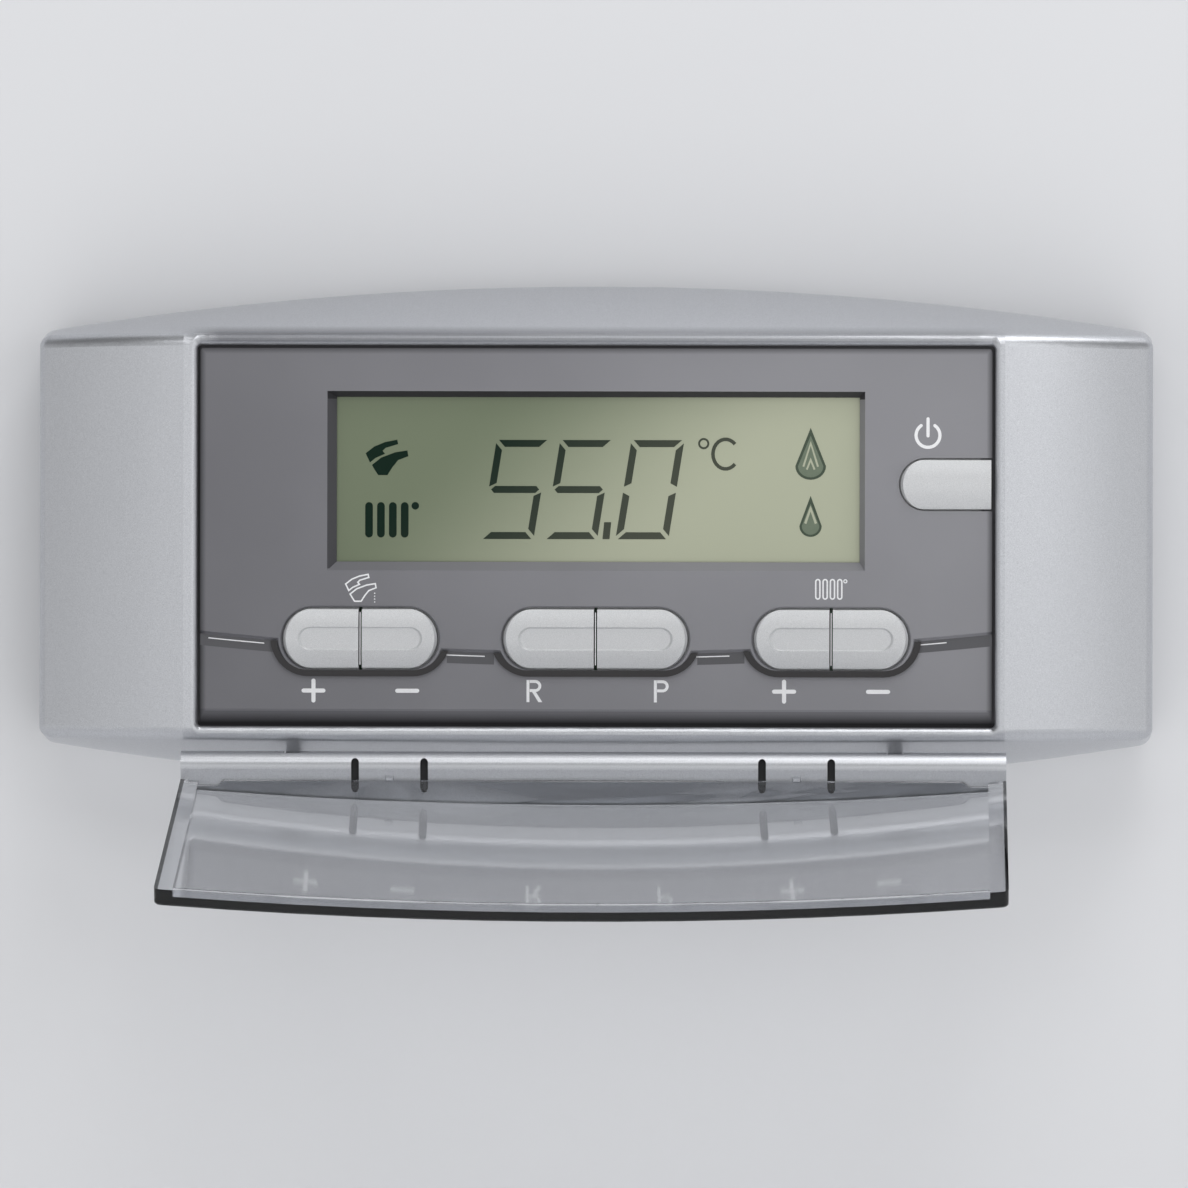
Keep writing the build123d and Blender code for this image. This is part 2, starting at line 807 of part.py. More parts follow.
with BuildPart() as controller_chip:
    with BuildSketch(at(board_back)):
        with Locations((chip_x, chip_z)):
            Rectangle(chip_size, chip_size)
    extrude(amount=-chip_height)
    chamfer(controller_chip.faces().sort_by(Axis.Y)[-1].edges(), chip_height / 4)
    lead_span = chip_size + 2 * lead_length
    with BuildSketch(at(board_back)):
        with Locations((chip_x, chip_z)):
            with GridLocations(lead_spacing, 1, lead_count, 1):
                Rectangle(lead_width, lead_span)
            with GridLocations(1, lead_spacing, 1, lead_count):
                Rectangle(lead_span, lead_width)
    extrude(amount=-lead_width)
save(controller_chip.part, "controller_chip")

with BuildPart() as crystal:
    with BuildSketch(at(board_back)):
        with Locations((chip_x + chip_size + crystal_width, chip_z)):
            SlotOverall(crystal_length, crystal_width, rotation=90)
    extrude(amount=-crystal_height)
    chamfer(crystal.faces().sort_by(Axis.Y)[-1].edges(), crystal_width / 8)
save(crystal.part, "crystal")

with BuildPart() as capacitors:
    with BuildSketch(at(board_back)):
        with Locations((capacitor_x, capacitor_z)):
            Circle(capacitor_radius)
        with Locations((capacitor_x + capacitor_step, capacitor_z)):
            with GridLocations(1, capacitor_spacing, 1, 2):
                Circle(capacitor_radius)
    extrude(amount=-capacitor_height)
    chamfer(capacitors.faces().group_by(Axis.Y)[-1].edges(), capacitor_radius / 8)
save(capacitors.part, "capacitors")

with BuildPart() as bus_header:
    with BuildSketch(at(board_back)):
        with Locations((0, terminal_z)):
            Rectangle(2 * bus_spacing, bus_spacing)
    extrude(amount=-header_height)
    with BuildSketch(at(board_back)):
        with Locations(*pin_spots):
            Circle(bus_pin_radius)
    extrude(amount=-(board_back - terminal_front + bus_overlap))
save(bus_header.part, "bus_header")

# ---- bus terminal on the wall plate ----
clamp_spots = [(-clamp_spacing / 2, terminal_z), (clamp_spacing / 2, terminal_z)]
with BuildPart() as bus_terminal:
    with BuildSketch(at(plate_thickness)):
        with Locations((0, terminal_z)):
            Rectangle(terminal_width, terminal_height)
    extrude(amount=terminal_depth)
    chamfer(bus_terminal.faces().sort_by(Axis.Y)[0].edges(), frame_wall / 2)
    with BuildSketch(at(terminal_front)):
        with Locations(*pin_spots):
            Circle(bus_pin_radius + bus_fit)
    extrude(amount=-(bus_overlap + fit), mode=Mode.SUBTRACT)
    with BuildSketch(at(terminal_front)):
        with Locations(*clamp_spots):
            Circle(clamp_radius + bus_fit)
    extrude(amount=-terminal_depth / 2, mode=Mode.SUBTRACT)
    with BuildSketch(Plane.XY.offset(terminal_z - terminal_height / 2)):
        with Locations(*((x, -(plate_thickness + 2 * wire_radius)) for x, _ in clamp_spots)):
            Circle(wire_radius)
    extrude(amount=terminal_height / 2, mode=Mode.SUBTRACT)
save(bus_terminal.part, "bus_terminal")

with BuildPart() as clamp_screws:
    with BuildSketch(at(terminal_front - terminal_depth / 2)):
        with Locations(*clamp_spots):
            Circle(clamp_radius)
    extrude(amount=terminal_depth / 2 - screw_recess)
    with BuildSketch(at(terminal_front - screw_recess)):
        with Locations(*clamp_spots):
            Rectangle(2 * clamp_radius, screw_recess)
    extrude(amount=-screw_recess, mode=Mode.SUBTRACT)
save(clamp_screws.part, "clamp_screws")

# ---- rear cover ----
hook_spots = [(-hook_x, hook_z), (hook_x, hook_z)]
latch_spots = [(-latch_x, latch_z), (latch_x, latch_z)]
middle_slope = sum(band_slopes(0, depth)) / 2
lip_inset = (wall + lip_height * sin(middle_slope)) / cos(middle_slope) + lip_fit
window_top_z = terminal_z + terminal_height / 2 + cover_window_margin
window_bottom_z = cable_z - cable_height / 2 - cover_window_margin
hook_slot_height = hook_stem + hook_rise + screw_fit
latch_slot_height = hook_stem + latch_nub + 2 * screw_fit

with BuildPart() as rear_cover:
    extrude(outline(cover_foot, cover_inset), amount=part_line - cover_foot)
    extrude(
        outline(cover_foot, cover_inset + cover_wall),
        amount=cover_floor_back - cover_foot,
        mode=Mode.SUBTRACT,
    )
    extrude(outline(part_line, lip_inset), amount=lip_height)
    extrude(
        outline(cover_floor_level, lip_inset + lip_wall),
        amount=part_line + lip_height - cover_floor_level,
        mode=Mode.SUBTRACT,
    )
    with BuildSketch(at(cover_floor_back)):
        with Locations((0, (window_top_z + window_bottom_z) / 2)):
            Rectangle(cable_width + 2 * cover_window_margin, window_top_z - window_bottom_z)
        with Locations(*((x, z + hook_stem / 2) for x, z in hook_spots)):
            Rectangle(hook_width + 4 * screw_fit, hook_slot_height, align=(Align.CENTER, Align.MAX))
        with Locations(*((x, z - hook_stem / 2 - screw_fit) for x, z in latch_spots)):
            Rectangle(hook_width + 4 * screw_fit, latch_slot_height, align=(Align.CENTER, Align.MIN))
    extrude(amount=cover_floor, mode=Mode.SUBTRACT)
    add(rods(cover_floor_back, cover_floor_level, screw_hole_radius, cover_spots), mode=Mode.SUBTRACT)
save(rear_cover.part, "rear_cover")
save(screws(cover_floor_back, cover_floor_level + screw_bite - fit, cover_spots), "cover_screws")

# ---- wall plate ----
with BuildPart() as wall_plate:
    add(rounded_slab(0, plate_thickness, (plate_width, plate_height), plate_corner, (0, 0)))
    lip_back = cover_floor_level + fit
    with BuildSketch(at(plate_thickness)):
        with Locations(*hook_spots):
            Rectangle(hook_width, hook_stem)
        with Locations(*latch_spots):
            Rectangle(hook_width, hook_stem)
    extrude(amount=lip_back + hook_lip - plate_thickness)
    with BuildSketch(at(lip_back)):
        with Locations(*((x, z - hook_stem / 2) for x, z in hook_spots)):
            Rectangle(hook_width, hook_stem + hook_rise, align=(Align.CENTER, Align.MIN))
        with Locations(*((x, z + hook_stem / 2) for x, z in latch_spots)):
            Rectangle(hook_width, hook_stem + latch_nub, align=(Align.CENTER, Align.MAX))
    extrude(amount=hook_lip)
    with BuildSketch(at(0)):
        with GridLocations(mount_spacing_x, mount_spacing_z, 2, 2):
            Circle(mount_hole_radius)
        with GridLocations(slot_spacing, 1, 2, 1):
            SlotOverall(slot_length, 2 * mount_hole_radius, rotation=90)
        with Locations((0, cable_z)):
            RectangleRounded(cable_width, cable_height, plate_thickness)
    extrude(amount=plate_thickness, mode=Mode.SUBTRACT)
save(wall_plate.part, "wall_plate")


# ---- flap ----
def closed_spot(forward, up):
    """A spot beside the hinge axis in side view: forward into the room and up, flap closed."""
    return (-(axis_level + forward), axis_z + up)


def bow(x):
    """How far the flap swells forward at x."""
    return window_bow * (1 - (x / flap_half_width) ** 2)


def bow_strip(near, far, bottom, top, half_width):
    """A slab of the flap between two distances in front of the axis, both following its bow."""
    with BuildPart() as strip:
        with BuildSketch(Plane.XY.offset(axis_z + bottom)):
            with BuildLine():
                ends = (-half_width, 0, half_width)
                front = [(x, -(axis_level + far + bow(x))) for x in ends]
                back = [(x, -(axis_level + near + bow(x))) for x in ends]
                ThreePointArc(*front)
                Line(front[2], back[2])
                ThreePointArc(*back)
                Line(back[0], front[0])
            make_face()
        extrude(amount=top - bottom)
    return strip.part


rim_front = rim_reach + rim_height
window_height = window_top - axis_z
curl_end = radians(90 + bar_curl)
curl_middle = radians(90 + bar_curl / 2)
inner_radius = bar_radius - bar_skin


def around_axis(radius, angle):
    """A spot on a circle round the hinge axis, with the flap closed."""
    return closed_spot(radius * cos(angle), radius * sin(angle))


with BuildPart() as closed_bar:
    with BuildSketch(Plane.YZ.offset(-flap_half_width)):
        with BuildLine():
            ThreePointArc(
                closed_spot(0, bar_radius),
                around_axis(bar_radius, curl_middle),
                around_axis(bar_radius, curl_end),
            )
            Line(around_axis(bar_radius, curl_end), around_axis(inner_radius, curl_end))
            ThreePointArc(
                around_axis(inner_radius, curl_end),
                around_axis(inner_radius, curl_middle),
                closed_spot(0, inner_radius),
            )
            far = rim_front + window_bow + bar_radius
            Polyline(
                closed_spot(0, inner_radius),
                closed_spot(far, inner_radius),
                closed_spot(far, bar_radius),
                closed_spot(0, bar_radius),
            )
        make_face()
    extrude(amount=2 * flap_half_width)
    add(
        bow_strip(-2 * far, rim_front, -2 * bar_radius, 2 * bar_radius, flap_half_width),
        mode=Mode.INTERSECT,
    )
    for x in (-lug_x, lug_x):
        for side in (-1, 1):
            near_x = x + side * (lug_width / 2 + lug_side_gap)
            with BuildSketch(Plane.YZ.offset(near_x)):
                with Locations(closed_spot(0, 0)):
                    Circle(web_radius)
            extrude(amount=side * web_width)
        with BuildSketch(Plane.YZ.offset(x - lug_width / 2 - lug_side_gap)):
            with Locations(closed_spot(0, pin_radius)):
                Rectangle(4 * bar_radius, 4 * bar_radius, align=(Align.CENTER, Align.MAX))
        extrude(amount=lug_width + 2 * lug_side_gap, mode=Mode.SUBTRACT)
    with BuildSketch(Plane.YZ.offset(-flap_half_width)):
        with Locations(closed_spot(0, 0)):
            Circle(pin_radius)
    extrude(amount=2 * flap_half_width, mode=Mode.SUBTRACT)
    slot_centers = [side * nub_x + shift for side in (-1, 1) for shift in (-slot_half_pitch, slot_half_pitch)]
    with BuildSketch(Plane.XY.offset(axis_z + pin_radius)):
        with Locations(*((x, -(axis_level + (slot_front - slot_back) / 2)) for x in slot_centers)):
            SlotOverall(slot_front + slot_back, slot_width, rotation=90)
    extrude(amount=bar_radius, mode=Mode.SUBTRACT)
    with BuildSketch(Plane.XY.offset(axis_z + bar_radius)):
        with Locations(*((x, -(axis_level + lap_reach - nub_gap)) for x in (-nub_x, nub_x))):
            Rectangle(nub_width, nub_width / 2, align=(Align.CENTER, Align.MIN))
    extrude(amount=nub_height, taper=nub_taper)

with BuildPart() as closed_window:
    add(bow_strip(rim_front - window_skin, rim_front, bar_radius, window_height, flap_half_width))
    add(
        bow_strip(
            rim_reach, rim_front - window_skin, window_height - end_wall, window_height, flap_half_width
        )
    )
    for side in (-1, 1):
        with BuildSketch(Plane.XY.offset(axis_z + bar_radius)):
            with Locations((side * (flap_half_width - rim_width / 2), -axis_level)):
                Rectangle(rim_width, 2 * far)
        extrude(amount=window_height - bar_radius)
    add(bow_strip(rim_reach, rim_front, bar_radius, window_height, flap_half_width), mode=Mode.INTERSECT)
    with BuildSketch(Plane.XY.offset(axis_z + bar_radius)) as lap:
        with BuildLine():
            near = -(axis_level + lap_reach)
            notched = near - lap_notch
            reach = -(axis_level + rim_front - window_skin / 2)
            run = flap_half_width - rim_width / 2
            spline_run = 2 * lap_notch
            for side in (-1, 1):
                Spline(
                    (side * lap_notch_x, near),
                    (side * (lap_notch_x + spline_run), notched),
                    tangents=((side, 0), (side, 0)),
                )
                Line((side * (lap_notch_x + spline_run), notched), (side * run, notched))
                Line((side * run, notched), (side * run, reach))
            Line((-lap_notch_x, near), (lap_notch_x, near))
            ThreePointArc((-run, reach), (0, reach - bow(0)), (run, reach))
        make_face()
    extrude(amount=lap_thickness)
    corner_edges = closed_window.edges().filter_by(Axis.Y).filter_by(
        lambda e: e.center().Z > window_top - fit and abs(e.center().X) > flap_half_width - fit
    )
    fillet(corner_edges, window_corner_radius)
    outer_face = closed_window.faces().sort_by(Axis.Y)[0]
    fillet(
        outer_face.edges().filter_by(lambda e: e.center().Z > axis_z + bar_radius + fit),
        window_edge_radius,
    )

hinge_axis = Axis((0, -axis_level, axis_z), (1, 0, 0))
with BuildPart() as hinge_pins:
    for x in (-lug_x, lug_x):
        pin_length = lug_width + 2 * lug_side_gap + 2 * web_width
        with BuildSketch(Plane.YZ.offset(x - pin_length / 2)):
            with Locations(closed_spot(0, 0)):
                Circle(pin_radius)
        extrude(amount=pin_length)

save(closed_bar.part.rotate(hinge_axis, open_angle), "flap_bar")
save(closed_window.part.rotate(hinge_axis, open_angle), "flap_window")
save(hinge_pins.part, "flap_hinge_pins")
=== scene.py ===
"""Looks, light and camera for the boiler's wall-hung control unit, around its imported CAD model.

Metres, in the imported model's frame: X runs right, Z up and Y into the wall, the plane Y = 0.
Printed marks and display segments are drawn in millimetres, as (x, z) spots on the front.
"""

import json
from math import asin, atan2, cos, degrees, radians, sin

import bmesh
import bpy
from mathutils import Matrix, Vector


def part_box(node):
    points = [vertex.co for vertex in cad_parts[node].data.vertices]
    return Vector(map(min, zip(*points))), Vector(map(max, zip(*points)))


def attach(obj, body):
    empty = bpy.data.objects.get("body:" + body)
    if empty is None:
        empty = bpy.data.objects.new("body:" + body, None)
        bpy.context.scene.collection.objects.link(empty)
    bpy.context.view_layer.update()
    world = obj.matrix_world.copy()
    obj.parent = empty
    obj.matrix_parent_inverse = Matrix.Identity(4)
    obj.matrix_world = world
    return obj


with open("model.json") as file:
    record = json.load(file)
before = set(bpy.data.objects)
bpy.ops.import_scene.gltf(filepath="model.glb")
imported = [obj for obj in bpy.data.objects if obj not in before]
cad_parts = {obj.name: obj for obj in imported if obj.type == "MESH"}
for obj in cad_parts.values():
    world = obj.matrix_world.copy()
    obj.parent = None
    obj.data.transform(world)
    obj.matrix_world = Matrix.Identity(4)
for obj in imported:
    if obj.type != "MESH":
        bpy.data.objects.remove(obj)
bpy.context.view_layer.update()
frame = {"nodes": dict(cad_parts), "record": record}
nodes = frame["nodes"]
scene = bpy.context.scene

MM = 0.001
ROOT = "unit"


# ---- places, read from the frame ----
def middle(node):
    """The middle of a CAD node's box, as (x, z) in millimetres."""
    low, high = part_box(node)
    return (low.x + high.x) / 2 / MM, (low.z + high.z) / 2 / MM


def front_level(node):
    """How far a CAD node's front stands from the wall, in millimetres."""
    return -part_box(node)[0].y / MM


def split_of(left_key, right_key):
    """The middle of the gap between two keys of a pair, as (x, z)."""
    left_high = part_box(left_key)[1]
    right_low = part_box(right_key)[0]
    return (left_high.x + right_low.x) / 2 / MM, middle(left_key)[1]


def front_extent(node):
    """Lowest and highest (x, z) of a CAD node's vertices on its front level, in millimetres."""
    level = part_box(node)[0].y + 0.01 * MM
    spots = [vertex.co / MM for vertex in nodes[node].data.vertices if vertex.co.y < level]
    sides, heights = [spot.x for spot in spots], [spot.z for spot in spots]
    return (min(sides), min(heights)), (max(sides), max(heights))


# measures and places of the front, in millimetres
STEP_HEIGHT = 0.7  # between the fascia's raised face and its lower face
STEP_RADIUS = 785.0
STEP_DROP = 3.2  # from the line of keys down to the lowest point of the step
BAND_DROP = 2.4  # height of the band of painted shade under the step
KEY_HEIGHT = 12.2
KEY_RISE = 17.8  # from the fascia's foot to the line of keys
KEY_SHADOW_INNER = 0.4  # ring of painted shadow under each pair of keys, measured out from the keys
KEY_SHADOW_OUTER = 1.7
SIDE_ROLL = 1.2  # rounding of the fascia's sides and top, darkened by painted shade
FOOT_STRIP = 2.9  # strip of painted shade at the fascia's foot
FASCIA_PALE = 25.0  # painted shade darkens the fascia toward its left; right of this place it is palest
WINDOW_LEFT = -52.9  # inner edges of the bevel round the display
WINDOW_TOP = 28.4
WINDOW_FOOT = -5.0
WINDOW_BEVEL = 1.5
LIP_FOOT = 39.6  # ends of the rounding above the fascia, which carries painted shade
LIP_TOP = 43.4
LIP_FADE = 4.0  # over which its painted shade fades at both ends
# painted shade on these parts, as shares of the darkest tone
SIDE_SHADE = 0.7
TOP_SHADE = 0.6
STRIP_EDGE_SHADE = 0.3
STRIP_TOP_SHADE = 0.2
STRIP_FOOT_SHADE = 0.95
LEFT_BEVEL_SHADE = 0.6
TOP_BEVEL_SHADE = 0.85
LIP_LEFT_SHADE = 0.8
LIP_RIGHT_SHADE = 0.4
# the flap
NUB_INSET = 43.0  # from the ends of the flap's bar to its nubs
SLOT_HALF_PITCH = 7.1  # from a nub to the slots at its two sides
# places worked out from these and the frame
raised_face = front_level("fascia_panel")
lower_face = raised_face - STEP_HEIGHT
glass_face = front_level("lcd_glass")
key_face = front_level("reset_key")
glass_z = middle("lcd_glass")[1]
glass_low, glass_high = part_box("lcd_glass")
(fascia_left, _), (fascia_right, fascia_top) = front_extent("fascia_panel")
key_pairs = [
    ("dhw_plus_key", "dhw_minus_key"),
    ("reset_key", "program_key"),
    ("heating_plus_key", "heating_minus_key"),
]
pair_splits = [split_of(*pair) for pair in key_pairs]
foot_z = pair_splits[1][1] - KEY_RISE
step_z = pair_splits[1][1] - STEP_DROP


# ---- material helpers ----
def srgb(r, g, b):
    """A colour given in 0-255 screen values, as linear light with full alpha."""
    shares = [v / 255 for v in (r, g, b)]
    linear = [v / 12.92 if v <= 0.04045 else ((v + 0.055) / 1.055) ** 2.4 for v in shares]
    return (*linear, 1.0)


def put(tree, socket, value):
    """Set a socket, or link it where the value is another node's socket."""
    if isinstance(value, bpy.types.NodeSocket):
        tree.links.new(value, socket)
    else:
        socket.default_value = value


def add_node(tree, kind, inputs=None, **settings):
    """A new node with its settings, then its inputs, set."""
    made = tree.nodes.new(kind)
    for key, value in settings.items():
        setattr(made, key, value)
    for key, value in (inputs or {}).items():
        put(tree, made.inputs[key], value)
    return made


class Shader:
    """A Principled material with short calls for its nodes and links."""

    def __init__(self, name, **values):
        self.material = bpy.data.materials.new(name)
        self.material.use_nodes = True
        self.tree = self.material.node_tree
        self.bsdf = self.tree.nodes["Principled BSDF"]
        for key, value in values.items():
            socket = key.replace("_", " ").title().replace("Ior", "IOR")
            self.bsdf.inputs[socket].default_value = value

    def node(self, kind, inputs=None, **settings):
        """A node of this material."""
        return add_node(self.tree, kind, inputs, **settings)

    def feed(self, socket, source):
        """Link a source to one of the shader's own sockets."""
        self.tree.links.new(source, self.bsdf.inputs[socket])

    def place(self):
        """Where a point is on its own piece, in metres."""
        return self.node("ShaderNodeTexCoord").outputs["Object"]

    def noise(self, size, detail=2.0, roughness=0.5):
        """Noise whose features are about so many metres across."""
        inputs = {"Vector": self.place(), "Scale": 1 / size}
        inputs |= {"Detail": detail, "Roughness": roughness}
        return self.node("ShaderNodeTexNoise", inputs).outputs["Fac"]

    def ramp(self, factor, low, high, low_at=0.0, high_at=1.0):
        """A colour that runs from low to high as the factor passes between two marks."""
        made = self.node("ShaderNodeValToRGB", {"Fac": factor})
        first, last = made.color_ramp.elements
        first.position, first.color = low_at, low
        last.position, last.color = high_at, high
        return made.outputs["Color"]

    def span(self, value, low, high, start=0.0, end=1.0):
        """A number that runs from low to high as the value runs from start to end."""
        inputs = {"Value": value, "From Min": start, "From Max": end}
        inputs |= {"To Min": low, "To Max": high}
        return self.node("ShaderNodeMapRange", inputs).outputs["Result"]

    def mixed(self, share, first, second):
        """A colour that goes from the first to the second as the share goes from 0 to 1."""
        made = self.node("ShaderNodeMix", {0: share, 6: first, 7: second}, data_type="RGBA")
        return made.outputs[2]

    def maths(self, operation, *values):
        """Numbers put together, and kept between 0 and 1."""
        inputs = dict(enumerate(values))
        return self.node("ShaderNodeMath", inputs, operation=operation, use_clamp=True).outputs[0]

    def bump(self, height, strength, distance):
        """Fine relief from a height between 0 and 1."""
        inputs = {"Height": height, "Strength": strength, "Distance": distance}
        self.feed("Normal", self.node("ShaderNodeBump", inputs).outputs["Normal"])


def toned(color, share):
    """A colour made lighter or darker by a share."""
    return tuple(min(1.0, v * (1 + share)) for v in color[:3]) + (1.0,)


def moulded(name, color, roughness, grain=0.12, grain_size=0.35 * MM, drift=0.05):
    """Moulded plastic: a fine grain, with a slow drift in tone and gloss."""
    look = Shader(name, roughness=roughness)
    patch = look.noise(55 * MM, 3.0)
    look.feed("Base Color", look.ramp(patch, toned(color, -drift), toned(color, drift), 0.35, 0.65))
    look.feed("Roughness", look.span(patch, roughness - 0.04, roughness + 0.05))
    look.bump(look.noise(grain_size), grain, grain_size / 4)
    return look.material


def foot_shade(look, height):
    """Painted shade on the fascia's foot strip, darkest at its lower edge."""
    strip_top = (foot_z + FOOT_STRIP) * MM
    strip_rim = strip_top - 0.1 * MM
    strip_foot = (foot_z + 0.4) * MM
    edge = look.span(height, STRIP_EDGE_SHADE, 0.0, strip_rim, strip_top)
    strip = look.span(height, STRIP_FOOT_SHADE, STRIP_TOP_SHADE, strip_foot, strip_rim)
    on_strip = look.maths("LESS_THAN", height, strip_top)
    return look.maths("MAXIMUM", edge, look.maths("MULTIPLY", strip, on_strip))


def bevel_shade(look, place):
    """Painted shade on the left and the upper bevel of the display's window, below the raised face.
    """
    middle_spot, half = (glass_low + glass_high) / 2, (glass_high - glass_low) / 2
    in_x = look.maths("COMPARE", place["X"], middle_spot.x, half.x)
    in_z = look.maths("COMPARE", place["Z"], middle_spot.z, half.z)
    across = look.span(place["X"], 0.0, 1.0, (WINDOW_LEFT - WINDOW_BEVEL) * MM, WINDOW_LEFT * MM)
    up = look.span(place["Z"], 0.0, 1.0, (WINDOW_FOOT - WINDOW_BEVEL) * MM, WINDOW_FOOT * MM)
    left = look.maths("MULTIPLY", look.maths("LESS_THAN", across, up), LEFT_BEVEL_SHADE)
    window_top = WINDOW_TOP * MM
    top = look.span(place["Z"], 0.0, TOP_BEVEL_SHADE, (WINDOW_TOP - 0.02) * MM, window_top)
    sunk = look.span(place["Y"], 0.0, 1.0, -(raised_face - 0.05) * MM, -(raised_face - 0.1) * MM)
    inside = look.maths("MULTIPLY", look.maths("MULTIPLY", in_x, in_z), sunk)
    return look.maths("MULTIPLY", inside, look.maths("MAXIMUM", left, top))


def fascia_look():
    """Grey moulding with painted shade: darker to its left, on its rounded edges, its foot and two
    window bevels.
    """
    look = Shader("fascia_grey", roughness=0.42)
    place = look.node("ShaderNodeSeparateXYZ", {"Vector": look.place()}).outputs
    left, right, top = fascia_left * MM, fascia_right * MM, fascia_top * MM
    dark = foot_shade(look, place["Z"])
    for shade in (
        look.span(place["X"], SIDE_SHADE, 0.0, left, (fascia_left + SIDE_ROLL) * MM),
        look.span(place["X"], 0.0, SIDE_SHADE, (fascia_right - SIDE_ROLL) * MM, right),
        look.span(place["Z"], 0.0, TOP_SHADE, (fascia_top - SIDE_ROLL) * MM, top),
        bevel_shade(look, place),
    ):
        dark = look.maths("MAXIMUM", dark, shade)
    drift = look.span(look.noise(55 * MM, 3.0), -0.12, 0.12, 0.35, 0.65)
    # painted shade: the grey pales from the fascia's left toward its right
    toward_right = look.span(place["X"], 0.1, 0.9, left, FASCIA_PALE * MM)
    tone = look.maths("ADD", toward_right, drift)
    grey = look.ramp(tone, srgb(102, 102, 107), srgb(134, 134, 139))
    # painted shade: near black, with less gloss, where the shade masks are high
    look.feed("Base Color", look.mixed(dark, grey, srgb(26, 25, 27)))
    look.feed("Specular IOR Level", look.span(dark, 0.5, 0.05))
    look.bump(look.noise(0.35 * MM), 0.12, 0.09 * MM)
    return look.material


def metal(name, color, roughness):
    """Plated metal with a faint uneven gloss."""
    look = Shader(name, base_color=color, metallic=1.0)
    uneven = look.noise(2.5 * MM, 4.0, 0.6)
    look.feed("Roughness", look.span(uneven, roughness - 0.08, roughness + 0.12))
    return look.material


def lacquer(name, base, bright, metallic, roughness, lip_color=None):
    """Metallic lacquer over smooth plastic, with flakes that sparkle close up.

    With a lip colour, painted shade darkens the rounding above the fascia, most at its left end.
    """
    look = Shader(name, metallic=metallic, roughness=roughness)
    look.bsdf.inputs["Coat Weight"].default_value = 0.15
    look.bsdf.inputs["Coat Roughness"].default_value = 0.25
    color = look.ramp(look.noise(0.12 * MM, 1.0), base, bright, 0.3, 0.7)
    if lip_color:
        split = look.node("ShaderNodeSeparateXYZ", {"Vector": look.place()}).outputs
        ends = fascia_left * MM, fascia_right * MM
        share = look.span(split["X"], LIP_LEFT_SHADE, LIP_RIGHT_SHADE, *ends)
        for part, value, low, high in (
            ("Z", 0.0, LIP_FOOT, LIP_FOOT + 0.6),
            ("Z", 1.0, LIP_TOP - 1.6, LIP_TOP),
            ("X", 0.0, fascia_left - LIP_FADE, fascia_left + LIP_FADE),
            ("X", 1.0, fascia_right - LIP_FADE, fascia_right + LIP_FADE),
        ):
            fade = look.span(split[part], value, 1.0 - value, low * MM, high * MM)
            share = look.maths("MULTIPLY", share, fade)
        color = look.mixed(share, color, lip_color)
    look.feed("Base Color", color)
    look.bump(look.noise(0.25 * MM), 0.08, 0.03 * MM)
    return look.material


def smoke_clear():
    """Clear moulding with a light smoke tint and a faint flow in its surface."""
    look = Shader("smoke_clear", roughness=0.05, ior=1.49, transmission_weight=1.0)
    tint = look.ramp(look.noise(40 * MM), srgb(232, 234, 238), srgb(240, 241, 243))
    look.feed("Base Color", tint)
    look.bump(look.noise(1.4 * MM, 3.0), 0.25, 0.02 * MM)
    inputs = {"Color": srgb(150, 152, 158), "Density": 60.0}
    smoke = look.node("ShaderNodeVolumeAbsorption", inputs)
    look.tree.links.new(smoke.outputs[0], look.tree.nodes["Material Output"].inputs["Volume"])
    return look.material


def display_tone(look, dark, pale):
    """Feed a colour with painted shade at the display's upper left, paling to its lower right."""
    inputs = {0: look.place(), 1: (1, 0, -1)}
    diagonal = look.node("ShaderNodeVectorMath", inputs, operation="DOT_PRODUCT").outputs["Value"]
    color = look.ramp(look.span(diagonal, 0.0, 1.0, -50 * MM, 19 * MM), dark, pale)
    color.node.color_ramp.interpolation = "EASE"
    look.feed("Base Color", color)


def display_glass():
    """The reflective display, olive grey, with painted shade toward its upper left."""
    look = Shader("lcd_glass", roughness=0.34, specular_ior_level=0.3)
    display_tone(look, srgb(110, 120, 97), srgb(173, 177, 155))
    look.bump(look.noise(0.3 * MM, 1.0), 0.05, 0.02 * MM)
    return look.material


def segment_ink():
    """Display segments, near black with a green cast at the upper left, under the glass's painted
    shade, paler to the lower right.
    """
    look = Shader("segment_ink", roughness=0.5, specular_ior_level=0.1)
    display_tone(look, srgb(10, 34, 24), srgb(74, 78, 68))
    return look.material


def flame_ink(name, dark, pale):
    """A half-lit tone of the display's flames."""
    look = Shader(name, roughness=0.5, specular_ior_level=0.1)
    look.feed("Base Color", look.ramp(look.noise(1.2 * MM), dark, pale))
    return look.material


def print_and_glint_paint():
    """Pale printing paint, with thin spots where it lets the plastic show; it also draws painted
    glints and highlights on the front.
    """
    look = Shader("print_and_glint_paint", roughness=0.5)
    thin_spots = look.ramp(look.noise(0.5 * MM, 3.0), srgb(226, 227, 230), srgb(240, 240, 242))
    look.feed("Base Color", thin_spots)
    return look.material


def contact_strip():
    """Silicone strip with fine dark conducting stripes across it."""
    look = Shader("zebra_strip", roughness=0.6)
    inputs = {"Vector": look.place(), "Scale": 1 / (2 * MM)}
    wave = look.node("ShaderNodeTexWave", inputs, bands_direction="X").outputs["Fac"]
    look.feed("Base Color", look.ramp(wave, srgb(60, 50, 60), srgb(170, 150, 160), 0.45, 0.55))
    return look.material


def circuit_board():
    """Green solder mask with a faint net of tracks under it."""
    look = Shader("board_green", roughness=0.32, coat_weight=0.3)
    inputs = {
        "Vector": look.place(),
        "Scale": 90.0,
        "Mortar Size": 0.012,
        "Color1": srgb(22, 92, 48),
        "Color2": srgb(24, 98, 52),
        "Mortar": srgb(44, 128, 72),
    }
    look.feed("Base Color", look.node("ShaderNodeTexBrick", inputs).outputs["Color"])
    return look.material


# ---- materials ----
SILVER = srgb(172, 174, 179), srgb(204, 206, 210)
KEY_SILVER = srgb(186, 188, 190), srgb(212, 213, 215)

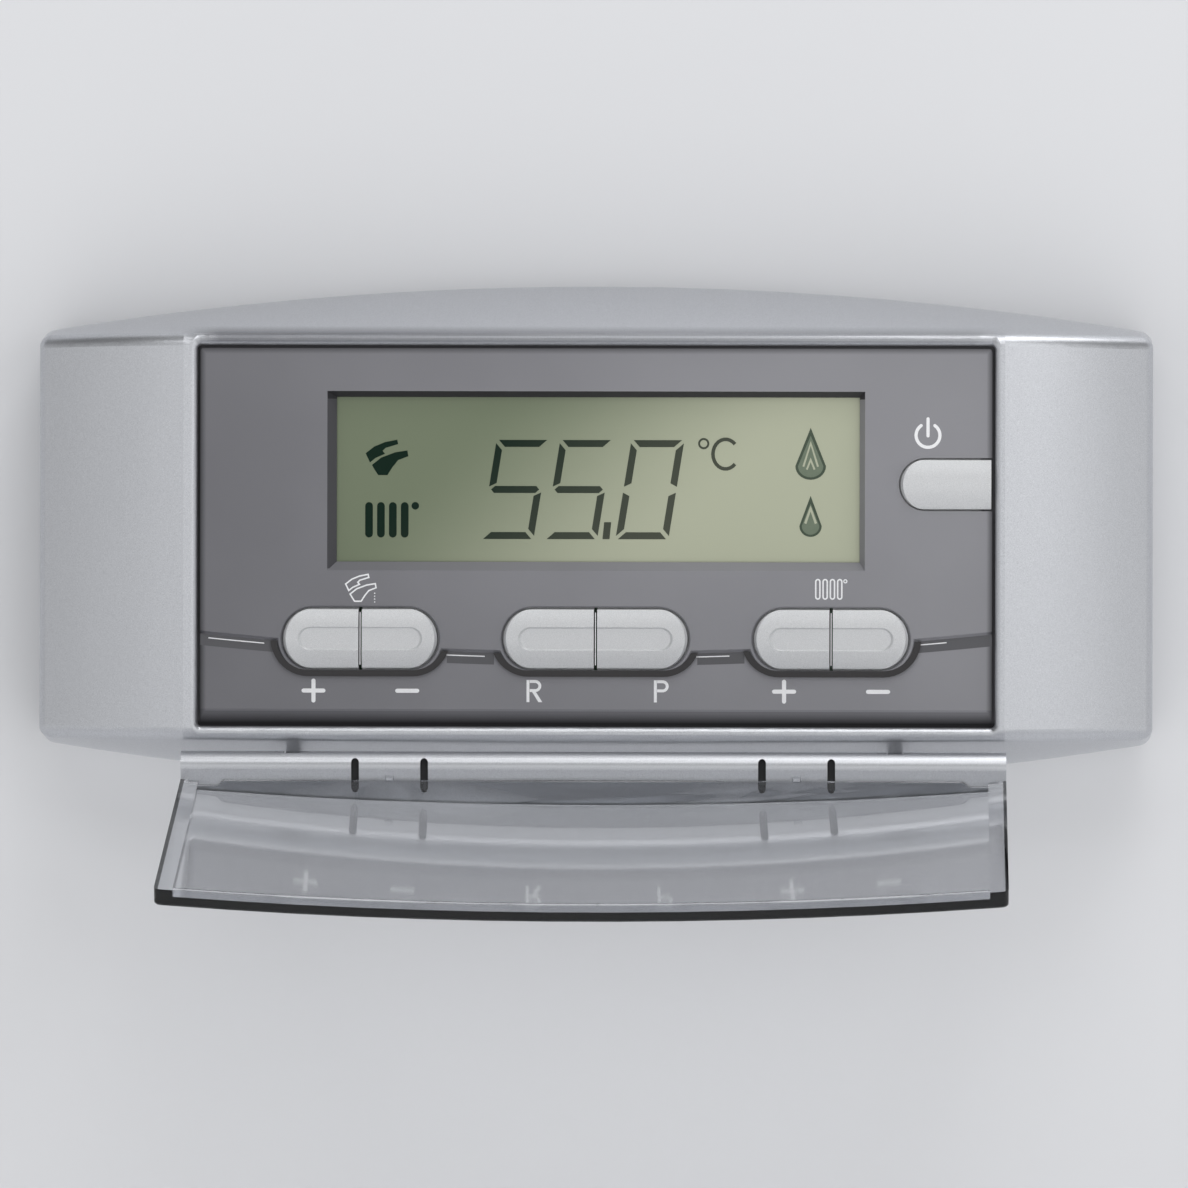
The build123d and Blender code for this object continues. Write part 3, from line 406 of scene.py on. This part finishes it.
by_slot = {
    # the last colour is the painted shade on the rounding above the fascia
    "silver_paint": lacquer("silver_paint", *SILVER, 0.85, 0.36, srgb(96, 97, 102)),
    "key_silver": lacquer("key_silver", *KEY_SILVER, 0.15, 0.4),
    "smoke_clear": smoke_clear(),
    "lcd_glass": display_glass(),
    "zebra_strip": contact_strip(),
    "board_green": circuit_board(),
    "fascia_grey": fascia_look(),
    "gasket_foam": moulded("gasket_foam", srgb(40, 40, 42), 0.9, grain=0.5),
    "frame_white": moulded("frame_white", srgb(222, 222, 218), 0.5),
    "guide_clear": moulded("guide_clear", srgb(225, 230, 226), 0.15, grain=0.02),
    "led_yellow": moulded("led_yellow", srgb(235, 225, 160), 0.3),
    "chip_black": moulded("chip_black", srgb(38, 38, 40), 0.55, grain=0.3),
    "capacitor_sleeve": moulded("capacitor_sleeve", srgb(44, 50, 66), 0.35),
    "switch_black": moulded("switch_black", srgb(45, 45, 46), 0.5),
    "stem_white": moulded("stem_white", srgb(228, 224, 212), 0.45),
    "terminal_green": moulded("terminal_green", srgb(70, 140, 96), 0.4),
    "cover_silver": moulded("cover_silver", srgb(176, 178, 182), 0.45, grain=0.25),
    "plate_grey": moulded("plate_grey", srgb(160, 161, 163), 0.5, grain=0.25),
    "can_steel": metal("can_steel", srgb(205, 205, 205), 0.3),
    "tinned_pins": metal("tinned_pins", srgb(215, 200, 150), 0.3),
    "zinc_steel": metal("zinc_steel", srgb(196, 196, 192), 0.35),
}
for subpart in frame["record"]["subparts"]:
    nodes[subpart["node"]].data.materials[0] = by_slot[subpart["material_slot"]]
# pale paint for the printed signs, also used for painted glints and highlights
print_and_glint_ink = print_and_glint_paint()
segments_ink = segment_ink()
# dark greys for painted shadow under the keys and painted shade under the step
key_shadow_grey = moulded("key_shadow_grey", srgb(36, 34, 36), 0.45)
step_shade_grey = moulded("step_shade_grey", srgb(80, 80, 84), 0.4)


# ---- flat outlines ----
def moved(outlines, x, z, scale=1.0):
    """Outlines scaled about their origin and moved."""
    return [[(x + scale * px, z + scale * pz) for px, pz in outline] for outline in outlines]


def evenly(start, end, steps=6):
    """Places at even distances from start to end."""
    return [start + (end - start) * step / steps for step in range(steps + 1)]


def arc(x, z, radius, start, end, steps=16, height=None):
    """Points along an arc round (x, z), in degrees; with a height it is half an ellipse's."""
    rise = radius if height is None else height
    angles = [radians(angle) for angle in evenly(start, end, steps)]
    return [(x + radius * cos(angle), z + rise * sin(angle)) for angle in angles]


def disc(x, z, radius):
    """A round spot."""
    return arc(x, z, radius, 0, 345, steps=23)


def edges_of(points, width, closed):
    """The two sides of a line of constant width through points, mitred at its corners."""
    spots = [Vector(spot) for spot in points]
    last = len(spots) - 1
    left, right = [], []
    for i, spot in enumerate(spots):
        ahead = (spots[(i + 1) % len(spots)] - spot).normalized()
        behind = (spot - spots[i - 1]).normalized()
        if not closed and i == 0:
            behind = ahead
        if not closed and i == last:
            ahead = behind
        run = (ahead + behind).normalized()
        side = Vector((-run.y, run.x)) * (width / 2 / max(0.4, run.dot(ahead)))
        left.append(tuple(spot + side))
        right.append(tuple(spot - side))
    return left, right


def loop(points, width):
    """A closed line of constant width, as one four-sided outline for each stretch."""
    left, right = edges_of(points, width, closed=True)
    return [[left[i - 1], left[i], right[i], right[i - 1]] for i in range(len(points))]


def stroke(points, width, round_ends=False):
    """An open line of constant width through points, as one outline."""
    left, right = edges_of(points, width, closed=False)
    if not round_ends:
        return [left + right[::-1]]
    outline = []
    ends = (left, points[-1], points[-2]), (right[::-1], points[0], points[1])
    for side, spot, before in ends:
        heading = degrees(atan2(spot[1] - before[1], spot[0] - before[0]))
        outline += side[:-1] + arc(*spot, width / 2, heading + 90, heading - 90, 8)[:-1]
    return [outline]


def capsule(x, z, width, height):
    """An upright bar with round ends."""
    reach = (height - width) / 2
    return arc(x, z + reach, width / 2, 0, 180, 8) + arc(x, z - reach, width / 2, 180, 360, 8)


def relief(name, outlines, level, material, rise=0.03, body=ROOT):
    """Flat shapes that stand off a level of the front by their rise, in millimetres."""
    shape = bmesh.new()
    for outline in outlines:
        shape.faces.new([shape.verts.new((x * MM, -level * MM, z * MM)) for x, z in outline])
    bmesh.ops.remove_doubles(shape, verts=shape.verts, dist=1e-7)
    raised = bmesh.ops.extrude_face_region(shape, geom=shape.faces)["geom"]
    fronts = [part for part in raised if isinstance(part, bmesh.types.BMVert)]
    bmesh.ops.translate(shape, verts=fronts, vec=(0, -rise * MM, 0))
    bmesh.ops.recalc_face_normals(shape, faces=shape.faces)
    mesh = bpy.data.meshes.new(name)
    shape.to_mesh(mesh)
    shape.free()
    mesh.materials.append(material)
    piece = bpy.data.objects.new(name, mesh)
    scene.collection.objects.link(piece)
    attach(piece, body)


# ---- signs ----
def tap_sign():
    """A tap from its side, about 9 mm wide: a lever over a body with its spout at the right."""
    lever = [(-4.4, 0.9), (-2.6, 2.3), (-0.4, 3.2), (2.1, 3.7), (2.3, 2.8), (-0.3, 2.0)]
    lever += [(-0.9, 1.4), (-0.4, 0.8), (-2.4, -0.1), (-3.5, -1.0)]
    body = [(-3.1, -1.5), (-1.2, 0.0), (1.7, 1.1), (4.2, 1.5), (4.4, 0.3), (2.3, -0.5)]
    body += [(1.1, -2.0), (0.1, -3.6), (-1.8, -3.6), (-2.6, -2.4)]
    return [lever, body]


def drop(tip, wide, foot, half_width):
    """A flame: a pointed top over a round foot, with the heights of its tip, waist and foot."""
    return [(0, tip)] + arc(0, wide, half_width, 0, -180, 14, height=wide - foot)


def chevron(tip, foot, reach, width):
    """A narrow roof shape inside a flame."""
    return stroke([(-reach, foot), (0, tip), (reach, foot)], width)


# measures of the signs, in millimetres
SIGN_LINE = 0.85  # width of the lines of plus and minus
SIGN_REACH = 2.05
SIGN_DROP = 10.75  # from the line of keys down to the signs
SIGN_SPREAD = 9.65  # from a split to the signs of its two keys
LETTER_SPREAD = 13.1
LETTER_SHIFT = 0.4
POWER_LINE = 0.66
POWER_X = 68.6
POWER_RISE = 10.1  # from the middle of the power key
THIN_LINE = 0.3  # lines of the fascia's pictures
PICTURE_RISE = 10.3  # from the line of keys
SYMBOL_SCALE = 0.71  # of the fascia's pictures, against the display's
RADIATOR_BARS = (-1.5, -0.5, 0.5, 1.5)  # their places, in pitches
SMALL_BAR_PITCH = 1.5  # of the fascia's radiator
RADIATOR_PITCH = 2.45  # of the display's radiator


def plus_sign(x, z):
    """Four arms with round ends, as one outline."""
    outline = []
    half = SIGN_LINE / 2
    for turn in (0, 90, 180, 270):
        across, up = cos(radians(turn)), sin(radians(turn))
        outline += arc(x + SIGN_REACH * across, z + SIGN_REACH * up, half, turn - 90, turn + 90, 8)
        outline.append((x + half * (across - up), z + half * (across + up)))
    return [outline]


def minus_sign(x, z):
    """A bar with round ends."""
    return stroke([(x - SIGN_REACH, z), (x + SIGN_REACH, z)], SIGN_LINE, round_ends=True)


def letter(x, z, leg):
    """The letter P, or R where it has a leg."""
    top, waist, line = 2.28, -0.2, 0.6
    bowl_radius = (top - waist - line) / 2
    bowl = [(-0.85, top - line / 2), (0.3, top - line / 2)]
    bowl += arc(0.3, (top + waist) / 2, bowl_radius, 80, -80, 10)
    bowl += [(0.3, waist + line / 2), (-0.85, waist + line / 2)]
    lines = stroke([(-1.2, -top), (-1.2, top)], line) + stroke(bowl, line)
    if leg:
        lines.append([(-0.35, waist), (0.45, waist), (1.75, -top), (0.95, -top)])
    return moved(lines, x, z)


def power_sign(x, z):
    """An open ring with a bar in its gap."""
    ring = stroke(arc(x, z, 2.45, 125, 415, 32), POWER_LINE, round_ends=True)
    return ring + stroke([(x, z - 0.1), (x, z + 3.4)], POWER_LINE, round_ends=True)


def print_fascia():
    """The signs printed on the fascia."""
    (left_x, key_z), (middle_x, _), (right_x, _) = pair_splits
    sign_z = key_z - SIGN_DROP
    below = []
    for x in (left_x, right_x):
        below += plus_sign(x - SIGN_SPREAD, sign_z) + minus_sign(x + SIGN_SPREAD, sign_z)
    below += letter(middle_x + LETTER_SHIFT - LETTER_SPREAD, sign_z, leg=True)
    below += letter(middle_x + LETTER_SHIFT + LETTER_SPREAD, sign_z, leg=False)
    relief("signs_below_keys", below, lower_face, print_and_glint_ink)

    picture_z = key_z + PICTURE_RISE
    above = power_sign(POWER_X, middle("power_key")[1] + POWER_RISE)
    for outline, rise in zip(tap_sign(), (0.25, -0.1)):
        for line in moved([outline], left_x + 0.1, picture_z + rise, SYMBOL_SCALE):
            above += loop(line, THIN_LINE)
    for step in range(4):
        above.append(disc(left_x + 2.95, picture_z - 1.0 - 0.6 * step, 0.13))
    for step in RADIATOR_BARS:
        bar = capsule(right_x - 0.5 + SMALL_BAR_PITCH * step, picture_z, 0.85, 4.0)
        above += loop(bar, THIN_LINE)
    above += loop(disc(right_x + 2.9, picture_z + 1.65, 0.32), 0.22)
    relief("signs_above_keys", above, raised_face, print_and_glint_ink)


# ---- display ----
DIGIT_WIDTH = 10.9
DIGIT_HEIGHT = 20.4
SEGMENT = 1.44  # width of a segment
SLANT = 0.16  # sideways lean of the digits for each millimetre of height
FIVE = "top upper_left middle lower_right bottom"
NOUGHT = "top upper_left upper_right lower_left lower_right bottom"
READING = ((-16.3, FIVE), (-3.2, FIVE), (11.45, NOUGHT))  # each digit's place and segments
ROW_DROP = 2.05  # from the middle of the glass down to the middle of the digits
ICON_X = -42.7  # of the tap and the radiator
FLAME_X = 44.5


def digit(x, z, lit):
    """A slanted seven-segment digit with the named segments lit."""
    w, h, t = DIGIT_WIDTH / 2, DIGIT_HEIGHT / 2, SEGMENT
    side_gap, corner_gap, waist = 0.48, 0.66, 0.6
    tip = w - side_gap
    top = [(-tip, h), (tip, h), (tip - t, h - t), (t - tip, h - t)]
    upper_left = [(-w, h - corner_gap), (t - w, h - corner_gap - t)]
    upper_left += [(t - w, waist + t / 2), (-w, waist)]
    bar = [(-tip, 0), (t / 2 - tip, t / 2), (tip - t / 2, t / 2), (tip, 0)]
    bar += [(tip - t / 2, -t / 2), (t / 2 - tip, -t / 2)]
    shapes = {
        "top": top,
        "bottom": [(px, -pz) for px, pz in top],
        "upper_left": upper_left,
        "upper_right": [(-px, pz) for px, pz in upper_left],
        "lower_left": [(px, -pz) for px, pz in upper_left],
        "lower_right": [(-px, -pz) for px, pz in upper_left],
        "middle": bar,
    }
    return [[(x + px + SLANT * pz, z + pz) for px, pz in shapes[part]] for part in lit.split()]


def draw_display():
    """The display's segments: a reading of 55.0 degrees with its signs."""
    row_z = glass_z - ROW_DROP
    lit = []
    for x, segments in READING:
        lit += digit(x, row_z, segments)
    foot = row_z - DIGIT_HEIGHT / 2
    lit.append([(1.7, foot), (3.15, foot), (3.5, foot + 3.5), (2.05, foot + 3.5)])
    lit += loop(disc(22.5, row_z + 9.5, 0.95), 0.42)
    lit += stroke(arc(27.0, row_z + 7.35, 2.6, 42, 318, 20, height=3.05), 0.74)
    lit += moved(tap_sign(), ICON_X, row_z + 6.5)
    for step in RADIATOR_BARS:
        lit.append(capsule(ICON_X + RADIATOR_PITCH * step, row_z - 6.3, 1.58, 7.3))
    lit.append(disc(ICON_X + 5.85, row_z - 3.4, 0.78))
    relief("display_segments", lit, glass_face, segments_ink)

    rims = [drop(12.8, 4.9, 2.1, 3.15), drop(-1.2, -7.4, -9.65, 2.3)]
    hearts = [drop(11.2, 4.9, 2.6, 2.6), drop(-2.8, -7.4, -9.2, 1.8)]
    light = chevron(9.6, 4.8, 1.5, 0.4) + chevron(6.2, 4.2, 0.8, 0.38)
    light += chevron(-3.8, -6.9, 1.1, 0.5)
    rim_paint = flame_ink("flame_rim", srgb(66, 78, 66), srgb(80, 90, 77))
    heart_paint = flame_ink("flame_heart", srgb(104, 116, 100), srgb(116, 127, 110))
    for name, shapes, paint, rise in (
        ("display_flames", rims, rim_paint, 0.03),
        ("display_flame_hearts", hearts, heart_paint, 0.05),
        ("display_flame_gaps", light, by_slot["lcd_glass"], 0.07),
    ):
        relief(name, moved(shapes, FLAME_X, row_z), glass_face, paint, rise=rise)


# ---- painted shade and highlights, as thin pieces ----
STEP_GLINTS = [(-79.3, -67.8), (-31.8, -22.4), (19.7, 27.9), (65.5, 72.5)]  # painted glints along the step, by their two ends
STEP_GLINT_DROP = 0.75  # drop of the painted glints from the step's foot
KEY_CLEARANCE = 1.0  # between the keys and the band of painted shade
SPLIT_REACH = 5.4  # painted highlights in the keys' splits, up and down from the line of keys
SPLIT_DEPTH = 1.2  # from the keys' front to the foot of the painted split highlights
SPLIT_RISE = 0.7
HAIRLINE = 0.16
SLOT_WIDTH = 1.6
SLOT_HEIGHT = 7.2
SLOT_DROP = 4.7  # from the top of the flap's bar to the middle of a slot
SLOT_DEPTH = 2.4  # from the front of the bar to the dark pads of painted shade


def step_height_at(x, drop=0.0):
    """The height of the step's foot at a distance from the middle, lowered by a drop."""
    return step_z + x**2 / (2 * STEP_RADIUS) - drop


def step_glint(start, end):
    """A painted glint along the step between two places."""
    return stroke([(x, step_height_at(x, STEP_GLINT_DROP)) for x in evenly(start, end)], 0.22)


def key_shadow_ring(left_key, right_key):
    """The part of a ring of painted shadow round a pair of keys that lies under the step."""
    left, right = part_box(left_key)[0].x / MM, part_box(right_key)[1].x / MM
    key_z = middle(left_key)[1]
    turn = KEY_HEIGHT / 2
    sides = []
    for margin in (KEY_SHADOW_OUTER, KEY_SHADOW_INNER):
        radius = turn + margin
        start, end = (degrees(asin((key_z - step_height_at(x)) / radius)) for x in (left, right))
        lower_left = arc(left + turn, key_z, radius, 180 + start, 270, 10)
        sides.append(lower_left + arc(right - turn, key_z, radius, 270, 360 - end, 10))
    return sides[0] + sides[1][::-1]


def paint_light_and_shade():
    """Painted shade and light as thin pieces: a dark band under the step, rings of painted shadow
    under the keys, painted glints along the step, painted highlights in the split of each key pair,
    dark pads of painted shade in each slot of the flap's bar.
    """
    # a band of painted shade under the step, broken around the keys
    stops = [fascia_left]
    for left_key, right_key in key_pairs:
        stops.append(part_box(left_key)[0].x / MM - KEY_CLEARANCE)
        stops.append(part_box(right_key)[1].x / MM + KEY_CLEARANCE)
    stops.append(fascia_right)
    band = []
    for start, end in zip(stops[::2], stops[1::2]):
        spots = evenly(start, end)
        foot = [(x, step_height_at(x, BAND_DROP)) for x in spots]
        band.append([(x, step_height_at(x)) for x in spots] + foot[::-1])
    relief("step_shade_band", band, lower_face, step_shade_grey, rise=0.02)
    # rings of painted shadow under the keys
    key_shadows = [key_shadow_ring(*pair) for pair in key_pairs]
    relief("key_shadow_rings", key_shadows, lower_face, key_shadow_grey, rise=STEP_HEIGHT + 0.02)
    # painted glints along the step, in the pale printing paint
    glints = [outline for ends in STEP_GLINTS for outline in step_glint(*ends)]
    relief("step_glints", glints, lower_face, print_and_glint_ink, rise=0.05)

    # painted highlights in the gaps between the keys of each pair
    split_highlights = []
    for x, z in pair_splits:
        split_highlights += stroke([(x, z - SPLIT_REACH), (x, z + SPLIT_REACH)], HAIRLINE)
    relief("key_split_highlights", split_highlights, key_face - SPLIT_DEPTH, print_and_glint_ink, rise=SPLIT_RISE)

    # dark pads of painted shade behind the flap's slot openings, in the foam's colour
    slot_shades = []
    low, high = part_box("flap_bar")
    slot_z = high.z / MM - SLOT_DROP
    for side in (-1, 1):
        nub_x = (low.x + high.x) / 2 / MM + side * ((high.x - low.x) / 2 / MM - NUB_INSET)
        for spot in (nub_x - SLOT_HALF_PITCH, nub_x + SLOT_HALF_PITCH):
            slot_shades.append(capsule(spot, slot_z, SLOT_WIDTH, SLOT_HEIGHT))
    pad_face = -low.y / MM - SLOT_DEPTH
    relief("slot_shade_pads", slot_shades, pad_face, by_slot["gasket_foam"], rise=0.25, body="flap")


print_fascia()
draw_display()
paint_light_and_shade()


# ---- surroundings ----
def plane(name, center, size, rotation, material):
    """A flat rectangle that isn't part of the object."""
    mesh = bpy.data.meshes.new(name)
    x, y = size[0] / 2, size[1] / 2
    mesh.from_pydata([(-x, -y, 0), (x, -y, 0), (x, y, 0), (-x, y, 0)], [], [(0, 1, 2, 3)])
    mesh.materials.append(material)
    piece = bpy.data.objects.new(name, mesh)
    piece.location = center
    piece.rotation_euler = rotation
    scene.collection.objects.link(piece)


def backdrop_paint(name, color, glow=0.0):
    """Pale matt paint that shows from its front, also in metal and through clear pieces.

    All other light passes through it, so that the room lights the unit.
    """
    look = Shader(name, roughness=0.85, specular_ior_level=0.2)
    look.bsdf.inputs["Emission Color"].default_value = color
    look.bsdf.inputs["Emission Strength"].default_value = glow
    look.feed("Base Color", look.ramp(look.noise(0.3), color, toned(color, 0.03)))
    path = look.node("ShaderNodeLightPath").outputs
    seen = path["Is Camera Ray"]
    for other in ("Is Transmission Ray", "Is Glossy Ray"):
        seen = look.maths("MAXIMUM", seen, path[other])
    shown = look.maths("SUBTRACT", seen, look.node("ShaderNodeNewGeometry").outputs["Backfacing"])
    clear = look.node("ShaderNodeBsdfTransparent")
    inputs = {0: shown, 1: clear.outputs[0], 2: look.bsdf.outputs[0]}
    mix = look.node("ShaderNodeMixShader", inputs)
    look.tree.links.new(mix.outputs[0], look.tree.nodes["Material Output"].inputs["Surface"])
    return look.material


def soft_light(name, center, size, power):
    """A rectangular studio light aimed at the wall behind the unit."""
    data = bpy.data.lights.new(name, "AREA")
    data.shape = "RECTANGLE"
    data.size, data.size_y = size
    data.energy = power
    light = bpy.data.objects.new(name, data)
    light.location = center
    light.rotation_euler = (-Vector(center)).to_track_quat("-Z", "Y").to_euler()
    scene.collection.objects.link(light)


def room_ramp(tree, value, stops):
    """Light levels at stops between -1 and 1, as a smooth ramp of a part of the direction."""
    share = add_node(tree, "ShaderNodeMapRange", {"Value": value, "From Min": -1.0})
    ramp = add_node(tree, "ShaderNodeValToRGB", {"Fac": share.outputs["Result"]})
    ramp.color_ramp.interpolation = "EASE"
    marks = ramp.color_ramp.elements
    while len(marks) < len(stops):
        marks.new(0.5)
    for mark, (spot, level) in zip(marks, stops):
        mark.position = (1 + spot) / 2
        mark.color = (level, level, level, 1.0)
    return ramp.outputs["Color"]


def studio_world():
    """A plain room, darker above; to the camera and through clear pieces it is pale."""
    world = bpy.data.worlds.new("studio")
    scene.world = world
    world.use_nodes = True
    tree = world.node_tree
    direction = add_node(tree, "ShaderNodeTexCoord").outputs["Generated"]
    parts = add_node(tree, "ShaderNodeSeparateXYZ", {0: direction}).outputs
    inputs = {0: direction, 1: ROOM_CORNER}
    toward_corner = add_node(tree, "ShaderNodeVectorMath", inputs, operation="DOT_PRODUCT")
    sides = room_ramp(tree, parts["X"], ROOM_SIDES)
    corner = room_ramp(tree, toward_corner.outputs["Value"], CORNER_SHADE)
    strength = add_node(tree, "ShaderNodeMath", {0: sides, 1: corner}, operation="MULTIPLY")
    bands = [(sin(radians(up)), level) for up, level in ROOM_BANDS]
    room = tree.nodes["Background"]
    put(tree, room.inputs["Color"], room_ramp(tree, parts["Z"], bands))
    put(tree, room.inputs["Strength"], strength.outputs[0])
    pale = add_node(tree, "ShaderNodeBackground", {"Color": BACKGROUND_COLOR})
    path = add_node(tree, "ShaderNodeLightPath").outputs
    inputs = {0: path["Is Camera Ray"], 1: path["Is Transmission Ray"]}
    seen = add_node(tree, "ShaderNodeMath", inputs, operation="MAXIMUM")
    inputs = {0: seen.outputs[0], 1: room.outputs[0], 2: pale.outputs[0]}
    mix = add_node(tree, "ShaderNodeMixShader", inputs)
    tree.links.new(mix.outputs[0], tree.nodes["World Output"].inputs["Surface"])


WALL_COLOR = srgb(214, 215, 218)
FLOOR_COLOR = srgb(208, 209, 212)
FLOOR_GLOW = 0.7  # the room is dark above, so the floor needs a little more to look pale
BACKGROUND_COLOR = srgb(214, 216, 218)
# the room's light at angles above the horizon
ROOM_BANDS = [(-90, 1.0), (-35, 1.35), (3, 1.2), (22, 0.25), (40, 0.07), (66, 0.06), (90, 0.4)]
# how it changes from far left to far right
ROOM_SIDES = [
    (-1.0, 0.58),
    (-0.67, 0.75),
    (-0.28, 0.94),
    (0.3, 0.98),
    (0.67, 0.96),
    (0.92, 0.72),
    (1.0, 0.66),
]
# the way to the dark corner below and behind the wall, and how it darkens close to that way
ROOM_CORNER = (0.0, 0.65, -0.76)
CORNER_SHADE = [(0.82, 1.0), (0.95, 0.3), (1.0, 0.3)]

scene.view_settings.view_transform = "Standard"
studio_world()
wall_paint = backdrop_paint("wall_paint", WALL_COLOR)
floor_paint = backdrop_paint("floor_paint", FLOOR_COLOR, FLOOR_GLOW)
plane("wall", (0, 0.0004, 0), (3.0, 2.4), (radians(90), 0, 0), wall_paint)
plane("floor", (0, -0.9, -0.6), (3.0, 3.0), (0, 0, 0), floor_paint)
# each light's centre and size in metres, and its power in watts
soft_light("overhead", (0.36, -0.22, 1.06), (1.4, 0.6), 8.5)
soft_light("right", (0.44, -0.76, 0.34), (0.4, 0.5), 0.7)
soft_light("high_front", (-0.1, -0.85, 0.62), (0.8, 0.3), 1.7)

# ---- camera ----
CAMERA_DISTANCE = 2.341
CAMERA_AZIMUTH = radians(1.675)
CAMERA_ELEVATION = radians(0.23)
CAMERA_ROLL = radians(0.118)
AIM = Vector((0.11 * MM, -34 * MM, -11.66 * MM))
VIEW_WIDTH = 243.96 * MM  # what the frame spans at the aim point
SENSOR_WIDTH = 36.0

camera_data = bpy.data.cameras.new("camera")
camera = bpy.data.objects.new("camera", camera_data)
scene.collection.objects.link(camera)
scene.camera = camera
camera_data.sensor_width = SENSOR_WIDTH
camera_data.lens = SENSOR_WIDTH * CAMERA_DISTANCE / VIEW_WIDTH
level_reach = cos(CAMERA_ELEVATION)
away = Vector((sin(CAMERA_AZIMUTH) * level_reach, -cos(CAMERA_AZIMUTH) * level_reach, 0.0))
away.z = sin(CAMERA_ELEVATION)
camera.location = AIM + CAMERA_DISTANCE * away
turn = (AIM - camera.location).to_track_quat("-Z", "Y").to_matrix().to_4x4()
camera.rotation_euler = (turn @ Matrix.Rotation(CAMERA_ROLL, 4, "Z")).to_euler()
